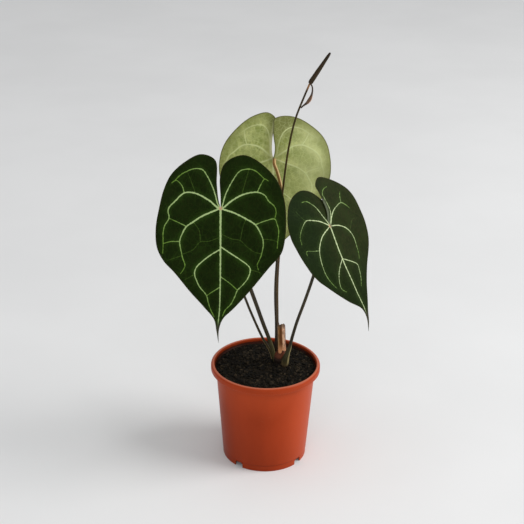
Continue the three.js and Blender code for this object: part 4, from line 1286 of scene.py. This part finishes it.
def make_short_stem():
    waist = ((0, 96), (0, 104), (0.3, 108), (0.8, 111), (0.4, 114), (1.2, 118), (2.4, 120.7),
             (4.2, STEM_TOP - 0.7))
    profile = [(0, 90), (7, 90)]
    profile += [tuple(p) for p in by_length(spline([(STEM_RADIUS - less, z) for less, z in waist]), 44)]
    points, faces = lathe(profile + [(2, STEM_TOP - 0.15), (0, STEM_TOP)], 72)
    shaped, tones = [], []
    for x, y, z in points:
        turn = math.atan2(y, x)
        rough = noise.fractal(Vector((2.2 * math.cos(turn), 2.2 * math.sin(turn), 0.35 * z)), 0.8, 2.0, 4)
        shrink = 1 - 0.035 * (1 + rough) - 0.03 * (bell(z, 110.5, 0.7) + bell(z, 116, 0.8))
        shaped.append((STEM_CENTRE[0] + x * shrink, STEM_CENTRE[1] + y * shrink, z))
        tones.append(0.5 + 0.5 * rough)
    faces = [face[::-1] for face in faces]
    stem = new_piece("short_stem_skin", shaped, faces, [short_stem_look()], {"tone": tones})
    fix_normals(stem)
    place(stem, "stem_skin", "short_stem")


def make_sheet(name, grid, half, look, attributes, slot, node):
    """A closed piece from a grid of points. half is half its thickness at each of them."""
    rows, columns = grid.shape[:2]
    normal = unit(np.cross(np.gradient(grid, axis=0), np.gradient(grid, axis=1)))
    points = [(grid + way * normal * half[..., None]).reshape(-1, 3) for way in (1, -1)]
    count = rows * columns
    faces = []
    for i in range(rows - 1):
        for a in range(i * columns, (i + 1) * columns - 1):
            faces.append([a, a + columns, a + columns + 1, a + 1])
            faces.append([v + count for v in (a, a + 1, a + columns + 1, a + columns)])
    border = ring(0, columns)
    border += range(2 * columns - 1, count, columns)
    border += range(count - 2, count - columns - 1, -1)
    border += range(count - 2 * columns, 0, -columns)
    for a, b in zip(border, border[1:] + border[:1]):
        faces.append([a, b, b + count, a + count])
    doubled = {key: np.concatenate([values, values]) for key, values in attributes.items()}
    sheet = new_piece(name, np.vstack(points), faces, [look], doubled)
    fix_normals(sheet)
    place(sheet, slot, node)


def make_sheath():
    rows, columns = 90, 84
    share, rise = np.meshgrid(np.linspace(0, 1, columns), np.linspace(0, 1, rows))
    turn = math.pi / 2 + SHEATH_OPENING / 2 + share * (2 * math.pi - SHEATH_OPENING)
    torn = 0.9 * np.sin(5 * share + 0.6) + 1.1 * np.sin(13 * share)
    nicks = np.array([noise.noise(Vector((26 * s, 0.3, 1.7))) for s in share[0]])[None]
    notch = -3.2 * bell(share, 0.66, 0.02) - 1.2 * np.abs(nicks) - 1.1 * (1 + np.sin(turn))
    torn_foot = 2.8 * smoothstep(share, 0.46, 0.6) * (1 - smoothstep(share, 0.78, 0.95))
    foot = 0.9 + 2.4 * bell(share, 0.52, 0.03) + 1.3 * np.sin(9 * share) ** 2 + torn_foot
    height = foot * (1 - rise) ** 3 + rise * (SHEATH_HEIGHT + torn + notch * rise ** 3)
    flare = FOOT_FLARE * (1 - smoothstep(height, 0, FOOT_FLARE_HEIGHT)) * np.cos(2 * turn)
    pleats = 0.16 * np.sin(22 * share + 1.2 * np.sin(3 * rise)) + 0.1 * np.sin(57 * share)
    radius = SHEATH_RADIUS + flare + SHEATH_TAPER * height + pleats * (0.4 + 0.6 * rise)
    grid = np.stack([
        SHEATH_CENTRE[0] + SHEATH_LEAN * height + radius * np.cos(turn),
        SHEATH_CENTRE[1] + radius * np.sin(turn),
        SHEATH_FOOT + height,
    ], axis=2)
    edge = np.minimum(share, 1 - share)
    half = 0.12 + 0.16 * smoothstep(edge, 0, 0.06) * (1 - 0.5 * smoothstep(rise, 0.85, 1))
    straight = np.stack([share, height, 0 * share], axis=2).reshape(-1, 3)
    make_sheet("dry_sheath_paper", grid, half, sheath_look(), {"straight": straight},
               "dry_sheath", "dry_sheath")


def make_spadix():
    steps, sides = 300, 80
    floret_rows, florets_round = 34, 10
    lean = unit(np.array(SPADIX_LEAN, float))
    start = np.array(FLOWER_STALK[-1]) + lean * 0.1
    line = start[None] + lean[None] * np.linspace(0, SPADIX_LENGTH + 0.4, steps)[:, None]
    radii = [(0, 2.0), (0.03, 2.3), (0.08, 2.35), (0.4, 2.15), (0.88, 1.45), (0.96, 1.15), (0.985, 0.9),
             (1, 0.35)]
    florets = []

    def section(share, turn):
        across = florets_round * turn / 2
        along = math.pi * floret_rows * share
        diamond = np.abs(np.cos(across + along)) * np.abs(np.cos(across - along))
        height = diamond ** 0.6 - 0.35 * bell(diamond, 1, 0.12)
        florets.append(height.ravel())
        return 1 + 0.075 * height * smoothstep(share, 0.01, 0.05)

    points, faces, attributes = tube(line, radius_at(radii, steps), sides, (0, -1, 0), section)
    attributes["floret"] = np.concatenate([florets[0], [0, 0]])
    spadix = new_piece("spadix_florets", points, faces, [spadix_look()], attributes)
    place(spadix, "spadix_skin", "spadix")


def make_spathe():
    rows, columns = 90, 25
    neck, widest, widest_at, spread, keel = 0.7, 1.8, 0.6, 0.19, 0.5
    line = by_length(spline(SPATHE, 24), rows)
    run = direction(line)
    side = unit(np.cross(np.cross(np.array(SPATHE_SIDE)[None], run), run))
    out = np.cross(run, side)
    lean, share = np.meshgrid(np.linspace(-1, 1, columns), np.linspace(0, 1, rows))
    half_width = neck + (widest - neck) * bell(share, widest_at, spread)
    height = keel * np.abs(lean) ** 1.3 * (half_width / widest)
    grid = line[:, None] + side[:, None] * (half_width * lean)[..., None]
    grid = grid + out[:, None] * height[..., None]
    straight = np.stack([lean * half_width, 14 * share, 0 * share], axis=2).reshape(-1, 3)
    attributes = {"straight": straight, "edge": np.maximum(-lean, 0).ravel(), "share": share.ravel()}
    half = 0.13 + 0.2 * (1 - lean ** 2)
    make_sheet("spathe_bract", grid, half, spathe_look(), attributes, "spathe_skin", "spathe")


def make_bud():
    def rolled(share, turn):
        seam = bell(angle_from(turn - 5 * share - 0.6), 0, 0.16)
        return 1 - 0.16 * seam * smoothstep(share, 0.05, 0.2) + 0.02 * np.cos(9 * turn)

    look = stem_look("bud_skin", [
        (0.0, 70, 66, 42), (0.3, 84, 92, 52), (0.8, 96, 84, 56), (1.0, 110, 78, 58),
    ], srgb(128, 124, 82))
    make_stem("flower_bud", BUD, [(0, 1.1), (0.15, 2), (0.45, 2.4), (0.8, 1.5), (1, 0.4)], look,
              steps=80, sides=36, section=rolled, slot="bud_skin")


# The camera, found from the pot's rim, wall and foot in the picture, and the light

CAMERA_PLACE = Vector((0, -1.158, 0.755))
CAMERA_PITCH = 24.28
CAMERA_YAW = -0.27
CAMERA_ROLL = 0.80
FOCAL_PIXELS = 1200
PICTURE_PIXELS = 524
SENSOR_WIDTH = 36
SKY_STRENGTH = 0.54
FLOOR_HALF = 6000


def make_camera():
    pitch, yaw, roll = (math.radians(a) for a in (CAMERA_PITCH, CAMERA_YAW, CAMERA_ROLL))
    ahead = Vector((math.sin(yaw) * math.cos(pitch), math.cos(yaw) * math.cos(pitch), -math.sin(pitch)))
    level = Vector((math.cos(yaw), -math.sin(yaw), 0))
    up = level.cross(ahead)
    right = math.cos(roll) * level + math.sin(roll) * up
    top = -math.sin(roll) * level + math.cos(roll) * up
    data = bpy.data.cameras.new("camera")
    data.sensor_width = SENSOR_WIDTH
    data.lens = FOCAL_PIXELS * SENSOR_WIDTH / PICTURE_PIXELS
    data.clip_start = 0.05
    data.clip_end = 60
    camera = add_object("camera", data)
    turn = Matrix((right, top, -ahead)).transposed().to_4x4()
    camera.matrix_world = Matrix.Translation(CAMERA_PLACE) @ turn
    bpy.context.scene.camera = camera


def area_light(name, where, towards, size, power, colour):
    """where, towards and size, the diameter, are in metres; power is in watts."""
    data = bpy.data.lights.new(name, "AREA")
    data.shape = "DISK"
    data.size = size
    data.energy = power
    data.color = colour
    light = add_object(name, data)
    light.location = where
    light.rotation_euler = (Vector(towards) - Vector(where)).to_track_quat("-Z", "Y").to_euler()


def make_studio():
    world = bpy.data.worlds.new("studio")
    world.use_nodes = True
    background = world.node_tree.nodes["Background"]
    background.inputs["Color"].default_value = (1.0, 1.0, 1.0, 1)
    background.inputs["Strength"].default_value = SKY_STRENGTH
    bpy.context.scene.world = world
    bpy.context.scene.view_settings.view_transform = "Standard"
    area_light("key", where=(2.6, -0.35, 2.35), towards=(0, 0, 0.15), size=2.2, power=78,
               colour=(1.0, 0.99, 0.975))
    area_light("front_fill", where=(-0.3, -2.6, 1.9), towards=(0, 0, 0.2), size=2.0, power=13,
               colour=(1.0, 1.0, 1.0))
    half = FLOOR_HALF
    corners = [(-half, -half, 0), (half, -half, 0), (half, half, 0), (-half, half, 0)]
    floor = new_piece("floor", corners, [[0, 1, 2, 3]], [floor_look()])


make_camera()
make_studio()
make_pot()
soil = soil_look()
make_soil_bed(soil)
make_crumbs(soil)
make_short_stem()
make_stems()
make_leaves()
make_sheath()
make_spadix()
make_spathe()
make_bud()
